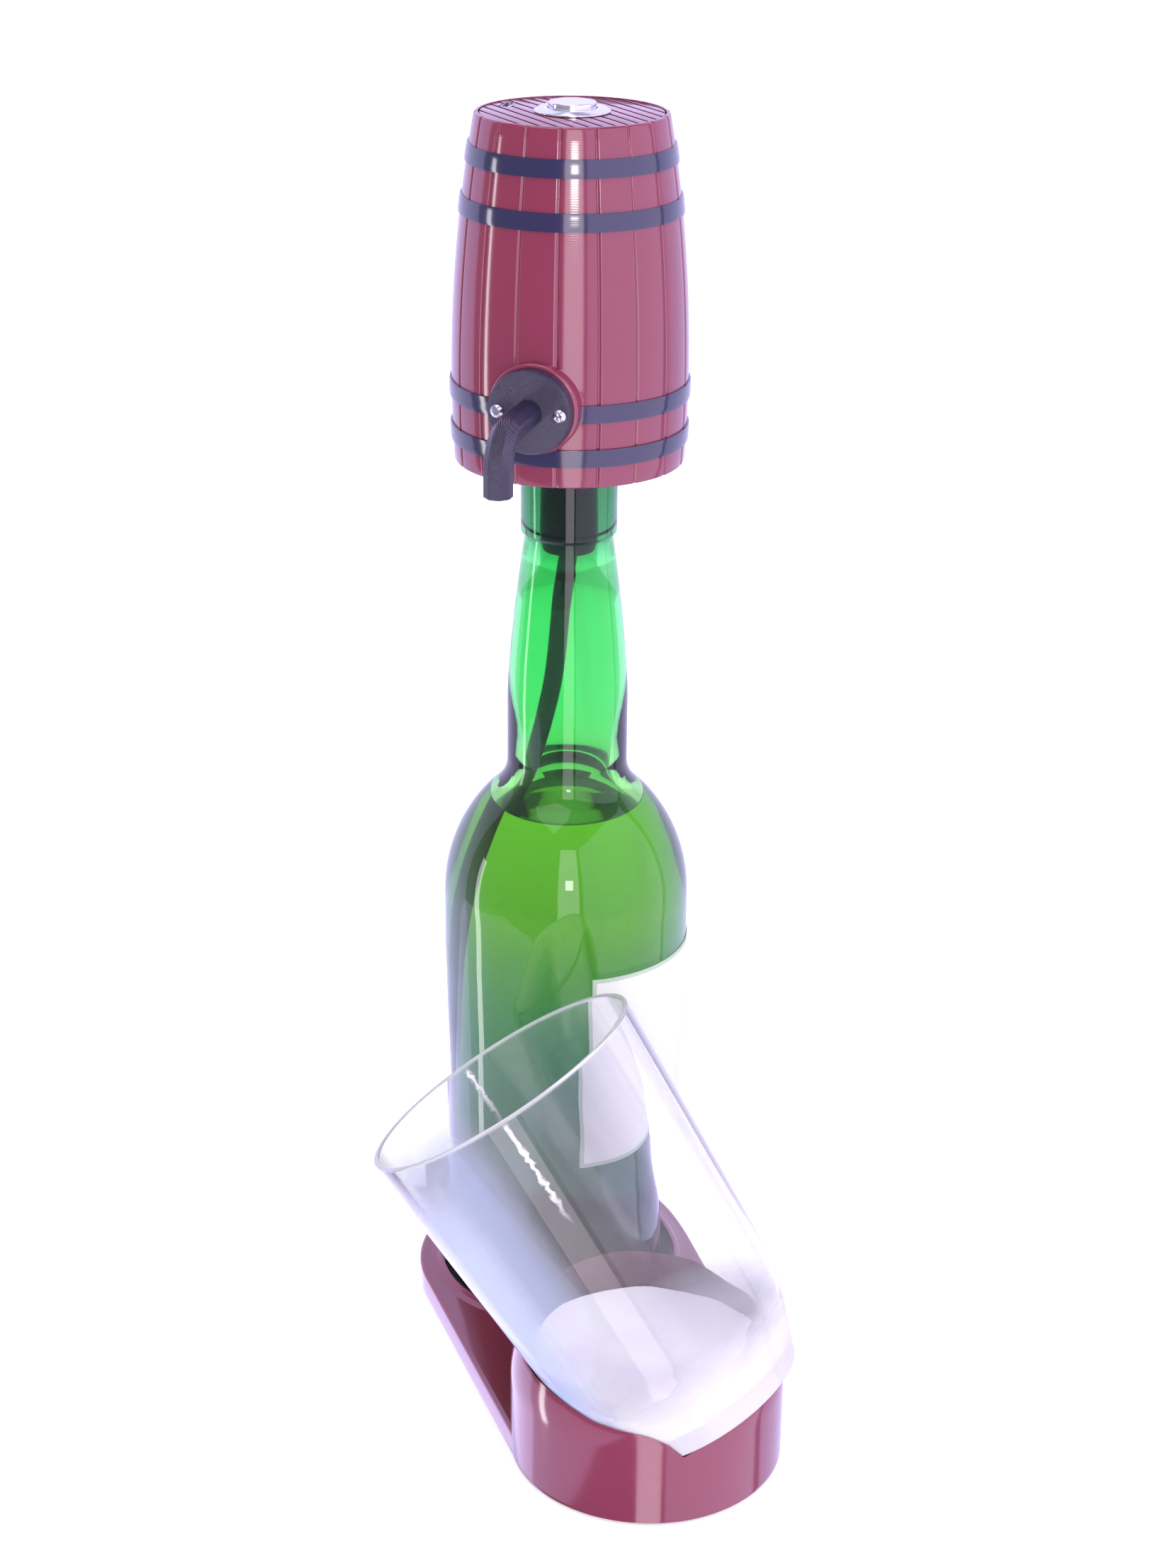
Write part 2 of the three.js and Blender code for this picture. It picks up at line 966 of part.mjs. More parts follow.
// Turns a round of four steps a stave into staves with a sunk seam between them
function cutSeams(geometry) {
  const steps = 4;
  const pitch = (2 * Math.PI) / stave_count;
  const inside = barrel_wall / 2;
  const places = geometry.getAttribute("position");
  for (let i = 0; i < places.count; i += 1) {
    const [x, y, z] = [places.getX(i), places.getY(i), places.getZ(i)];
    const radius = Math.hypot(x, y);
    const step = Math.round((Math.atan2(x, -y) / pitch) * steps);
    const stave = Math.floor(step / steps);
    const within = step - stave * steps;
    const turns = [0, stave_seam_half, pitch / 2, pitch - stave_seam_half];
    const turn = stave * pitch + turns[within] + stave_turn;
    const outside = radius > barrelRadius(Math.min(z, barrel_height)) - inside;
    const sunk = within === 0 && outside ? stave_seam_depth : 0;
    places.setXYZ(
      i,
      (radius - sunk) * Math.sin(turn),
      -(radius - sunk) * Math.cos(turn),
      z,
    );
  }
  return geometry;
}

const spout = new THREE.Group();
spout.position.z = spout_height;
spout.rotation.z = spout_turn;
head.add(spout);
spout.updateMatrix();

// A round along the spout's outward direction, between two distances from the barrel's axis
function outward(radius, near, far, sides = mid_sides) {
  return disc(radius, near, far, sides).rotateX(Math.PI / 2);
}

function inHead(geometry) {
  return geometry.applyMatrix4(spout.matrix);
}

const plate_top = barrel_height - plate_sink;
const plate_low = plate_top - plate_thickness;

function makeShell() {
  const seat = barrel_top_radius - rim_wall;
  const ledge_top = plate_low - running_gap;
  const ledge_inner = seat - ledge_width;
  const inner_high = ledge_top - 2 * ledge_height;
  const side = [];
  for (let i = 0; i <= shell_steps; i += 1) {
    const height = (barrel_height * i) / shell_steps;
    side.push([barrelRadius(height), height]);
  }
  const filled = cutSeams(
    turned([[0, 0], ...side, [0, barrel_height]], stave_count * 4),
  );
  const wall_inner = [];
  for (let i = 0; i <= shell_inner_steps; i += 1) {
    const height = (inner_high * i) / shell_inner_steps;
    wall_inner.push([barrelRadius(height) - barrel_wall, height]);
  }
  const room = turned([
    [0, -overrun],
    [barrelRadius(0) - barrel_wall, -overrun],
    ...wall_inner,
    [ledge_inner, ledge_top - ledge_height],
    [ledge_inner, ledge_top],
    [seat, ledge_top],
    [seat, barrel_height + overrun],
    [0, barrel_height + overrun],
  ]);
  const staves = cut(filled, room);
  const bosses = boss_angles.map((turn) =>
    disc(
      boss_radius,
      cover_thickness + clearance,
      cover_thickness + clearance + boss_height,
      small_sides,
    ).translate(boss_reach * Math.cos(turn), boss_reach * Math.sin(turn), 0),
  );
  const spout_boss = inHead(
    outward(spout_boss_radius, belly_radius - barrel_wall, spout_boss_face),
  );
  const bore = inHead(
    outward(
      octagonRadius() + clearance,
      belly_radius - 3 * barrel_wall,
      spout_boss_face + overrun,
    ),
  );
  return cut(
    join(staves, ...bosses, spout_boss),
    bore,
    ...bossHoles(),
    ...flangeScrewHoles(spout_boss_face - flange_screw_length),
  );
}

function octagonRadius() {
  return spout_flat / 2 / Math.cos(Math.PI / 8);
}

function bossHoles() {
  return boss_angles.map((turn) =>
    disc(
      screw_shank_radius + clearance,
      cover_thickness,
      screw_length + clearance,
      small_sides,
    ).translate(boss_reach * Math.cos(turn), boss_reach * Math.sin(turn), 0),
  );
}

function flangeScrewHoles(depth_end) {
  return [-1, 1].map((side) =>
    inHead(
      outward(
        screw_shank_radius + clearance,
        depth_end,
        spout_boss_face + flange_thickness + overrun,
        small_sides,
      ).translate(side * flange_screw_spread, 0, 0),
    ),
  );
}

add(head, "barrel_shell", makeShell(), burgundy);

const hoop_middles = [
  ...hoop_drops.map((drop) => barrel_height - drop),
  ...hoop_rises,
];

hoop_middles.forEach((middle, i) => {
  const low = middle - hoop_width / 2;
  const high = middle + hoop_width / 2;
  const inner = (height) => barrelRadius(height) + hoop_gap;
  const band = turnedRing([
    [inner(low) + hoop_thickness, low],
    [inner(high) + hoop_thickness, high],
    [inner(high), high],
    [inner(low), low],
  ]);
  const boss_room = inHead(
    outward(
      spout_boss_radius + clearance,
      belly_radius - barrel_wall,
      spout_boss_face + overrun,
    ),
  );
  add(head, `hoop_${i + 1}`, cut(band, boss_room), hoop_black);
});

// Charging socket's outline: a slot with round ends
function slotShape(length, width) {
  const shape = new THREE.Shape();
  const half = (length - width) / 2;
  shape.absarc(half, 0, width / 2, -Math.PI / 2, Math.PI / 2, false);
  shape.absarc(-half, 0, width / 2, Math.PI / 2, (3 * Math.PI) / 2, false);
  return shape;
}

function slotBody(length, width, low, high) {
  return new THREE.ExtrudeGeometry(slotShape(length, width), {
    depth: high - low,
    curveSegments: 4,
    bevelEnabled: false,
  }).translate(0, 0, low);
}

const socket_group = new THREE.Group();
socket_group.position.set(
  socket_reach * Math.cos(socket_angle),
  socket_reach * Math.sin(socket_angle),
  plate_top,
);
socket_group.rotation.z = socket_turn;
head.add(socket_group);
socket_group.updateMatrix();
const board_top = -plate_thickness - clearance;
const board_y = -socket_width / 2 - clearance - board_thickness;

function makeTopPlate() {
  const radius = barrel_top_radius - rim_wall - clearance;
  const plate = disc(radius, plate_low, plate_top, fine_sides);
  const rails = [-1, 1].map((side) => {
    const edge = side * (board_width / 2 + clearance);
    const far = edge + side * rail_width;
    return block(
      Math.min(edge, far),
      Math.max(edge, far),
      board_y - rail_width,
      board_y + board_thickness + rail_width,
      -plate_thickness - rail_length,
      -plate_thickness / 2,
    ).applyMatrix4(socket_group.matrix);
  });
  const button_hole = disc(
    housing_radius + clearance,
    plate_low - overrun,
    plate_top + overrun,
  );
  const socket_hole = slotBody(
    socket_length + 2 * clearance,
    socket_width + 2 * clearance,
    -plate_thickness - overrun,
    overrun,
  ).applyMatrix4(socket_group.matrix);
  const grooves = [];
  const count = Math.floor(radius / plank_pitch);
  for (let i = -count; i < count; i += 1) {
    const middle = (i + 0.5) * plank_pitch;
    grooves.push(
      block(
        -barrel_top_radius,
        barrel_top_radius,
        middle - plank_groove / 2,
        middle + plank_groove / 2,
        plate_top - plank_groove_depth,
        plate_top + overrun,
      ).rotateZ(plank_turn),
    );
  }
  return cut(join(plate, ...rails), button_hole, socket_hole, ...grooves);
}

add(head, "top_plate", makeTopPlate(), burgundy);

const cover_radius = barrelRadius(0) - barrel_wall - clearance;
const leg_y = stopper_flange_radius + 2 * clearance;
const leg_screw_y = leg_y + leg_depth / 2;
const frame_middle_x = frame_wall_x + frame_wall / 2;

function coverScrewPlaces() {
  const rim = boss_angles.map((turn) => [
    boss_reach * Math.cos(turn),
    boss_reach * Math.sin(turn),
  ]);
  const legs = [-1, 1].map((side) => [frame_middle_x, side * leg_screw_y]);
  return { rim, legs };
}

function makeBottomCover() {
  const cover = washer(
    collar_radius + cover_hole_gap,
    cover_radius,
    0,
    cover_thickness,
    fine_sides,
  );
  const { rim, legs } = coverScrewPlaces();
  const holes = [...rim, ...legs].map(([x, y]) =>
    countersunkHole(
      screw_head_radius,
      screw_head_height,
      screw_shank_radius,
      screw_length,
    ).translate(x, y, 0),
  );
  return cut(cover, ...holes);
}

add(head, "bottom_cover", makeBottomCover(), burgundy);

function addScrew(group, name, x, y, z, length) {
  const screw = add(
    group,
    name,
    countersunkScrew(
      screw_head_radius,
      screw_head_height,
      screw_shank_radius,
      length,
    ),
    steel,
  );
  screw.position.set(x, y, z);
}

coverScrewPlaces().rim.forEach(([x, y], i) =>
  addScrew(head, `cover_screw_${i + 1}`, x, y, 0, screw_length),
);
coverScrewPlaces().legs.forEach(([x, y], i) =>
  addScrew(head, `frame_screw_${i + 1}`, x, y, 0, screw_length),
);

// Spout, in a frame whose -Y is the outward direction

const flange_face = spout_boss_face + flange_thickness;

function makeFlange() {
  const plate = turned(
    [
      [0, spout_boss_face + running_gap],
      [flange_radius, spout_boss_face + running_gap],
      [flange_radius, flange_face - flange_chamfer],
      [flange_radius - flange_chamfer, flange_face],
      [0, flange_face],
    ],
    mid_sides + small_sides,
  ).rotateX(Math.PI / 2);
  const hole = outward(
    octagonRadius() + clearance,
    spout_boss_face - overrun,
    flange_face + overrun,
  );
  const screws = [-1, 1].map((side) =>
    outward(
      screw_shank_radius + clearance,
      spout_boss_face - overrun,
      flange_face + overrun,
      small_sides,
    ).translate(side * flange_screw_spread, 0, 0),
  );
  return cut(plate, hole, ...screws);
}

function makeElbow() {
  const bend_start = spout_reach - spout_bend;
  const route = [
    [0, -spout_inner_end, 0],
    [0, -(spout_inner_end + bend_start) / 2, 0],
    [0, -bend_start, 0],
  ];
  const bend_steps = 6;
  for (let i = 1; i <= bend_steps; i += 1) {
    const turn = ((Math.PI / 2) * i) / bend_steps;
    route.push([
      0,
      -bend_start - spout_bend * Math.sin(turn),
      -spout_bend + spout_bend * Math.cos(turn),
    ]);
  }
  const outlet = [0, -spout_reach, -spout_drop];
  const octagon = new THREE.Shape();
  const bore = new THREE.Path();
  const sides = 8;
  for (let i = 0; i < sides; i += 1) {
    const turn = ((i + 0.5) * 2 * Math.PI) / sides;
    const [c, s] = [Math.cos(turn), Math.sin(turn)];
    octagon[i ? "lineTo" : "moveTo"](octagonRadius() * c, octagonRadius() * s);
    bore[i ? "lineTo" : "moveTo"](spout_bore * c, spout_bore * s);
  }
  octagon.closePath();
  bore.closePath();
  octagon.holes.push(bore);
  const path = new THREE.CurvePath();
  const points = [...route, outlet].map((p) => new THREE.Vector3(...p));
  for (let i = 1; i < points.length; i += 1)
    path.add(new THREE.LineCurve3(points[i - 1], points[i]));
  const sweep = new THREE.ExtrudeGeometry(octagon, {
    steps: 24,
    extrudePath: path,
    curveSegments: 1,
  });
  const nipple = turnedRing(
    [
      [spigot_bore, spout_inner_end - nipple_length],
      [spigot_radius, spout_inner_end - nipple_length],
      [spigot_radius, spout_inner_end],
      [spout_flat / 2 - running_gap, spout_inner_end],
      [spout_flat / 2 - running_gap, spout_inner_end + spigot_bore],
      [spigot_bore, spout_inner_end + spigot_bore],
    ],
    small_sides,
  ).rotateX(Math.PI / 2);
  return join(sweep, nipple);
}

add(spout, "spout_flange", makeFlange(), printed_black);
add(spout, "spout_elbow", makeElbow(), printed_black);
[-1, 1].forEach((side, i) => {
  const screw = turned(
    [
      [0, flange_face - flange_thickness - flange_screw_length + 2 * clearance],
      [screw_shank_radius, flange_face - flange_thickness - flange_screw_length / 2],
      [screw_shank_radius, flange_face + running_gap],
      [flange_screw_head_radius, flange_face + running_gap],
      [flange_screw_head_radius, flange_face + flange_screw_head_height / 2],
      [flange_screw_head_radius / 2, flange_face + flange_screw_head_height],
      [0, flange_face + flange_screw_head_height],
    ],
    small_sides,
  ).rotateX(Math.PI / 2);
  const mesh = add(spout, `flange_screw_${i + 1}`, screw, steel);
  mesh.position.x = side * flange_screw_spread;
});

// Push button in the middle of the top plate

const button = new THREE.Group();
button.position.z = plate_top;
head.add(button);

function makeButtonHousing() {
  const inner = button_radius + button_gap;
  const wide = button_collar_radius + button_gap;
  return turned(
    [
      [0, -housing_length],
      [housing_radius, -housing_length],
      [housing_radius, running_gap],
      [bezel_radius, running_gap],
      [bezel_radius, bezel_height / 3],
      [bezel_radius - bezel_slope, bezel_height],
      [inner, bezel_height],
      [inner, bezel_height - button_lip],
      [wide, bezel_height - button_lip],
      [wide, -housing_length + housing_floor],
      [0, -housing_length + housing_floor],
    ],
    fine_sides,
  );
}

const insert_low = -housing_length + housing_floor + running_gap;
const cap_low = bezel_height + button_rise - button_cap_height;

function makeButtonCap() {
  const top = bezel_height + button_rise;
  const edge = button_rise / 4;
  const stem_low = insert_low + insert_height + button_travel + clearance;
  return turned(
    [
      [0, stem_low],
      [button_stem_radius, stem_low],
      [button_stem_radius, cap_low],
      [button_collar_radius, cap_low],
      [button_collar_radius, bezel_height - button_lip - clearance],
      [button_radius, bezel_height - button_lip - clearance],
      [button_radius, top - edge],
      [button_radius - edge, top],
      [button_radius - 2 * edge, top - edge / 2],
      [0, top - edge / 2],
    ],
    mid_sides,
  );
}

function makeSpring() {
  const low = insert_low + insert_height + spring_wire + running_gap;
  const high = cap_low - spring_wire - running_gap;
  const steps = 8;
  const points = [];
  for (let i = 0; i <= spring_turns * steps; i += 1) {
    const turn = (2 * Math.PI * i) / steps;
    points.push([
      spring_radius * Math.cos(turn),
      spring_radius * Math.sin(turn),
      low + ((high - low) * i) / (spring_turns * steps),
    ]);
  }
  return tubeAlong(points, spring_wire, 0, spring_turns * steps, 5);
}

add(button, "button_housing", makeButtonHousing(), steel);
add(button, "button_cap", makeButtonCap(), steel);
add(button, "button_spring", makeSpring(), steel);
add(
  button,
  "switch_insert",
  disc(insert_radius, insert_low, insert_low + insert_height),
  printed_black,
);
const nut_high = -plate_thickness - running_gap;
const hexagon_sides = 6;
add(
  button,
  "button_nut",
  cut(
    disc(nut_radius, nut_high - nut_height, nut_high, hexagon_sides),
    disc(
      housing_radius + running_gap,
      nut_high - nut_height - overrun,
      nut_high + overrun,
      fine_sides,
    ),
  ),
  steel,
);

// Charging socket and its board, in a frame whose X runs along the slot

function makeSocket() {
  const shell = slotBody(socket_length, socket_width, -socket_depth, 0);
  const cavity = slotBody(
    socket_length - 2 * socket_wall,
    socket_width - 2 * socket_wall,
    -socket_depth + socket_wall,
    overrun,
  );
  const tongue_half = socket_length / 2 - 3 * socket_wall;
  const tongue = block(
    -tongue_half,
    tongue_half,
    -socket_tongue / 2,
    socket_tongue / 2,
    -socket_depth + socket_wall / 2,
    -socket_wall * 2,
  );
  return join(cut(shell, cavity), tongue);
}

add(socket_group, "charging_socket", makeSocket(), steel);
add(
  socket_group,
  "charging_board",
  block(
    -board_width / 2,
    board_width / 2,
    board_y,
    board_y + board_thickness,
    board_top - board_height,
    board_top,
  ),
  board_green,
);

// Gear pump and its motor

const pump = new THREE.Group();
pump.position.set(motor_x, 0, 0);
head.add(pump);
const gear_spacing = 2 * gear_pitch_radius;
const pump_middle_x = -gear_spacing / 2;
const gear_room = gear_pitch_radius + gear_addendum + running_gap;
const gear_low = pump_low + pump_cover_height / 4;

function makeGear(first_tooth_share) {
  const shape = new THREE.Shape();
  const pitch = (2 * Math.PI) / gear_teeth;
  const tip = gear_pitch_radius + gear_addendum;
  const root_radius = gear_pitch_radius - gear_dedendum;
  const tip_half = (pitch * tooth_tip_share) / 2;
  const root_half = (pitch * (1 - tooth_tip_share - gear_backlash_share)) / 2;
  for (let i = 0; i < gear_teeth; i += 1) {
    const middle = (i + first_tooth_share) * pitch;
    const corners = [
      [root_radius, middle - root_half],
      [tip, middle - tip_half],
      [tip, middle + tip_half],
      [root_radius, middle + root_half],
    ];
    corners.forEach(([r, turn], k) => {
      const verb = i + k === 0 ? "moveTo" : "lineTo";
      shape[verb](r * Math.cos(turn), r * Math.sin(turn));
    });
  }
  shape.closePath();
  const gear = new THREE.ExtrudeGeometry(shape, {
    depth: gear_height,
    bevelEnabled: false,
  }).translate(0, 0, gear_low);
  const hole = disc(
    shaft_radius + running_gap,
    gear_low - overrun,
    gear_low + gear_height + overrun,
    small_sides,
  );
  return cut(gear, hole);
}

function makePumpHousing() {
  const body = disc(pump_radius, pump_low, pump_low + pump_height);
  body.translate(pump_middle_x, 0, 0);
  const cavity_top = gear_low + gear_height + running_gap;
  const rooms = [0, -gear_spacing].map((x) =>
    disc(gear_room, pump_low - overrun, cavity_top).translate(x, 0, 0),
  );
  const ports = [-1, 1].map((side) =>
    disc(
      port_radius,
      pump_low - overrun,
      cavity_top,
      small_sides,
    ).translate(pump_middle_x, (side * port_spread) / 2, 0),
  );
  const shaft_hole = disc(
    shaft_radius + running_gap,
    pump_low,
    pump_low + pump_height + overrun,
    small_sides,
  );
  const pin_hole = disc(
    shaft_radius + running_gap,
    pump_low,
    pump_low + pump_height - pump_wall,
    small_sides,
  ).translate(-gear_spacing, 0, 0);
  return cut(body, ...rooms, ...ports, shaft_hole, pin_hole);
}

function makePumpCover() {
  const plate = disc(
    pump_radius,
    pump_low - running_gap - pump_cover_height,
    pump_low - running_gap,
  ).translate(pump_middle_x, 0, 0);
  const barbs = [-1, 1].map((side) =>
    disc(
      port_radius,
      pump_low - pump_cover_height - port_length,
      pump_low - pump_cover_height / 2,
      small_sides,
    ).translate(pump_middle_x, side * port_spread, 0),
  );
  const bores = [-1, 1].map((side) =>
    disc(
      spigot_bore,
      pump_low - pump_cover_height - port_length - overrun,
      pump_low + overrun,
      small_sides,
    ).translate(pump_middle_x, side * port_spread, 0),
  );
  return cut(join(plate, ...barbs), ...bores);
}

function makeMotor() {
  const high = motor_low + motor_length;
  const can = turned([
    [0, motor_low],
    [motor_radius, motor_low],
    [motor_radius, high - 2 * pump_wall],
    [motor_radius - pump_wall, high - pump_wall],
    [shaft_radius * 3, high - pump_wall],
    [shaft_radius * 3, high],
    [0, high],
  ], mid_sides);
  const socket = disc(
    shaft_radius + running_gap,
    motor_low - overrun,
    motor_low + motor_length / 2,
    small_sides,
  );
  return cut(can, socket);
}

add(pump, "pump_housing", makePumpHousing(), grey_plastic);
add(pump, "pump_cover", makePumpCover(), grey_plastic);
add(pump, "pump_motor", makeMotor(), steel);
add(
  pump,
  "motor_shaft",
  disc(
    shaft_radius,
    gear_low,
    motor_low + motor_length / 2 - clearance,
    small_sides,
  ),
  steel,
);
add(pump, "drive_gear", makeGear(0), grey_plastic);
const driven = add(pump, "driven_gear", makeGear(0.5), grey_plastic);
driven.position.x = -gear_spacing;
const pin = add(
  pump,
  "driven_pin",
  disc(
    shaft_radius,
    gear_low,
    pump_low + pump_height - pump_wall - clearance,
    small_sides,
  ),
  steel,
);
pin.position.x = -gear_spacing;

// Frame that carries the pump, the motor and the battery holder

function makeFrame() {
  const half = frame_width / 2;
  const wall = block(
    frame_wall_x,
    frame_wall_x + frame_wall,
    -half,
    half,
    frame_low,
    frame_high,
  );
  const leg_low = cover_thickness + running_gap;
  const legs = [-1, 1].map((side) => {
    const near = side * leg_y;
    const far = side * (leg_y + leg_depth);
    return block(
      frame_middle_x - leg_width / 2,
      frame_middle_x + leg_width / 2,
      Math.min(near, far),
      Math.max(near, far),
      leg_low,
      frame_low + frame_wall,
    );
  });
  const rings = [
    [motor_x + pump_middle_x, pump_radius, pump_ring_low],
    [motor_x, motor_radius, motor_ring_low],
  ].map(([x, radius, low]) => {
    const ring = washer(
      radius + clearance,
      radius + clearance + ring_wall,
      low,
      low + ring_height,
    ).translate(x, 0, 0);
    const link = block(
      x + radius + clearance + ring_wall / 2,
      frame_wall_x + frame_wall / 2,
      -link_width / 2,
      link_width / 2,
      low,
      low + ring_height,
    );
    const room = disc(
      radius + clearance,
      low - overrun,
      low + ring_height + overrun,
    ).translate(x, 0, 0);
    return cut(join(ring, link), room);
  });
  const holes = [-1, 1].map((side) =>
    disc(
      screw_shank_radius + clearance,
      0,
      screw_length + clearance,
      small_sides,
    ).translate(frame_middle_x, side * leg_screw_y, 0),
  );
  return cut(join(wall, ...legs, ...rings), ...holes);
}

add(head, "inner_frame", makeFrame(), grey_plastic);

// Two cells in their holder

function makeHolder() {
  const back = frame_wall_x + frame_wall + clearance;
  const half = 2 * cell_radius + cell_gap;
  const low = cell_low - clearance - holder_wall;
  const high = cell_low + cell_length + nub_height + clearance;
  const plate = block(
    back,
    back + holder_wall,
    -half,
    half,
    low,
    high + holder_wall,
  );
  const ends = [low, high].map((z) =>
    block(
      back,
      cell_x + cell_radius,
      -half,
      half,
      z,
      z + holder_wall,
    ),
  );
  const round = disc(holder_reach, low - overrun, high + 2 * holder_wall);
  return common(join(plate, ...ends), round);
}

function makeCell() {
  return turned(
    [
      [0, cell_low],
      [cell_radius, cell_low],
      [cell_radius, cell_low + cell_length],
      [nub_radius, cell_low + cell_length],
      [nub_radius, cell_low + cell_length + nub_height],
      [0, cell_low + cell_length + nub_height],
    ],
    mid_sides,
  );
}

add(head, "battery_holder", makeHolder(), printed_black);
[-1, 1].forEach((side, i) => {
  const cell = add(head, `battery_cell_${i + 1}`, makeCell(), cell_wrap);
  cell.position.set(cell_x, side * (cell_radius + cell_gap / 2), 0);
});

// Hoses, each along its own route

const spigot_top =
  cover_thickness + clearance + stopper_flange_height + spigot_height;
const barb_end = pump_low - pump_cover_height - port_length;
const barb_x = motor_x + pump_middle_x;
const nipple_y = -(spout_inner_end - nipple_length);

function onSpout(x, y, z) {
  return new THREE.Vector3(x, y, z).applyMatrix4(spout.matrix).toArray();
}

const inlet_route = [
  [0, 0, spigot_top - spigot_height + clearance],
  [0, 0, spigot_top],
  ...inlet_bends.map(([x, y, z]) => [x, y, spigot_top + z]),
  [barb_x, port_spread, barb_end],
  [barb_x, port_spread, barb_end + port_length - clearance],
];
const outlet_route = [
  [barb_x, -port_spread, barb_end + port_length - clearance],
  [barb_x, -port_spread, barb_end],
  ...outlet_bends,
  onSpout(0, nipple_y, 0),
  onSpout(0, nipple_y - nipple_length + clearance, 0),
];

add(
  head,
  "inlet_hose",
  tubeAlong(inlet_route, hose_radius, hose_bore, 18),
  silicone,
);
add(
  head,
  "outlet_hose",
  tubeAlong(outlet_route, hose_radius, hose_bore, 20),
  silicone,
);

export default root;
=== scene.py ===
# Electric cider pourer: a barrel-shaped pump on a cider bottle, and a base that holds a tilted glass
import math

import bmesh
import bpy
from mathutils import Matrix, Vector


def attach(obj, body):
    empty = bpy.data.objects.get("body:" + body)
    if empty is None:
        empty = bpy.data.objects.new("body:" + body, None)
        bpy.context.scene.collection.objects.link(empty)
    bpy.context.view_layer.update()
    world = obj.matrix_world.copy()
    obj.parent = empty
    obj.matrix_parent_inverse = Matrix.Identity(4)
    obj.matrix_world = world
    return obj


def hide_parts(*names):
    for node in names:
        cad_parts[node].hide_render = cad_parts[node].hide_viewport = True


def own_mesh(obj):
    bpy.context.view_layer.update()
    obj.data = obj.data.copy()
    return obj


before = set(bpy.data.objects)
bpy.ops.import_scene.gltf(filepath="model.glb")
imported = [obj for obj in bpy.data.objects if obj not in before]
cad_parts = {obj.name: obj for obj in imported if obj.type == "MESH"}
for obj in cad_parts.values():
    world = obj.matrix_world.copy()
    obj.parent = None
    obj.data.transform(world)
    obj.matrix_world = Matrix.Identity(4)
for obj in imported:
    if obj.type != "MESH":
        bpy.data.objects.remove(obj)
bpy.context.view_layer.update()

# Table top and surroundings
# A pale matt table top in a plain white studio. The table keeps the shadow. What is
# seen past the object or through its glass is plain white, and gloss meets dim lilac.


def linear(hex_colour):
    """Turns an sRGB hex colour into the linear colour that nodes take."""
    parts = [int(hex_colour[i : i + 2], 16) / 255 for i in (1, 3, 5)]
    return [p / 12.92 if p <= 0.04045 else ((p + 0.055) / 1.055) ** 2.4 for p in parts] + [1]


def add_node(tree, kind, settings=None, **inputs):
    """Adds a node with its settings, and joins or fills its sockets, named or numbered as in _0.

    A node as a value stands for its first output in use, and a hex colour for its linear colour.
    """
    node = tree.nodes.new("ShaderNode" + kind)
    for name, value in (settings or {}).items():
        setattr(node, name, value)
    for name, value in inputs.items():
        if name.startswith("_"):
            socket = node.inputs[int(name[1:])]
        else:
            label = name.replace("_", " ")
            socket = next(item for item in node.inputs if item.enabled and item.name == label)
        if isinstance(value, bpy.types.Node):
            value = next(item for item in value.outputs if item.enabled)
        if isinstance(value, bpy.types.NodeSocket):
            tree.links.new(value, socket)
        else:
            socket.default_value = linear(value) if isinstance(value, str) else value
    return node


# Settings that many nodes share
colours = {"data_type": "RGBA"}
multiply = {"operation": "MULTIPLY"}
multiply_add = {"operation": "MULTIPLY_ADD"}
smoothly = {"interpolation_type": "SMOOTHSTEP"}


def new_material(name):
    """Starts a material and gives back it and its empty node tree."""
    material = bpy.data.materials.new(name)
    material.use_nodes = True
    material.node_tree.nodes.clear()
    return material, material.node_tree


def surfaced(material, shader):
    """Gives a material its surface, and gives it back."""
    add_node(material.node_tree, "OutputMaterial", Surface=shader)
    return material


def looking_rays(tree):
    """Gives the kinds of ray, and a value of 1 for rays that show what is looked at."""
    path = add_node(tree, "LightPath").outputs
    camera_ray, through_glass = path["Is Camera Ray"], path["Is Transmission Ray"]
    seen = add_node(tree, "Math", {"operation": "MAXIMUM"}, _0=camera_ray, _1=through_glass)
    return path, seen


world = bpy.data.worlds.new("white_studio")
bpy.context.scene.world = world
world.use_nodes = True
sky = world.node_tree
sky.nodes.clear()
path, seen = looking_rays(sky)
soft_fill = add_node(sky, "Background", Color="#fbf9ff", Strength=0.82)
cool_gloss = add_node(sky, "Background", Color="#e2d6ff", Strength=0.45)
plain_white = add_node(sky, "Background", Color="#ffffff", Strength=1.0)
gloss_mix = add_node(sky, "MixShader", Fac=path["Is Glossy Ray"], _1=soft_fill, _2=cool_gloss)
sky_mix = add_node(sky, "MixShader", Fac=seen, _1=gloss_mix, _2=plain_white)
add_node(sky, "OutputWorld", Surface=sky_mix)

floor_paint, tree = new_material("matt_white_table")
grain = add_node(tree, "TexNoise", Scale=60.0, Detail=4.0)
tint = add_node(tree, "Mix", colours, Factor=grain, A="#f4f4f6", B="#fbfbfc")
matt = add_node(tree, "BsdfDiffuse", Color=tint)
glow = add_node(tree, "Emission", Color="#ffffff", Strength=0.42)
nothing = add_node(tree, "Emission", Strength=0.0)
seen_glow = add_node(tree, "MixShader", Fac=looking_rays(tree)[1], _1=nothing, _2=glow)
surfaced(floor_paint, add_node(tree, "AddShader", _0=matt, _1=seen_glow))

table_radius = 9  # metres, so that its edge is never seen
bm = bmesh.new()
bmesh.ops.create_circle(bm, cap_ends=True, segments=64, radius=table_radius)
mesh = bpy.data.meshes.new("table_top")
bm.to_mesh(mesh)
bm.free()
mesh.materials.append(floor_paint)
table_top = bpy.data.objects.new("table_top", mesh)
bpy.context.scene.collection.objects.link(table_top)
table_top.visible_glossy = False


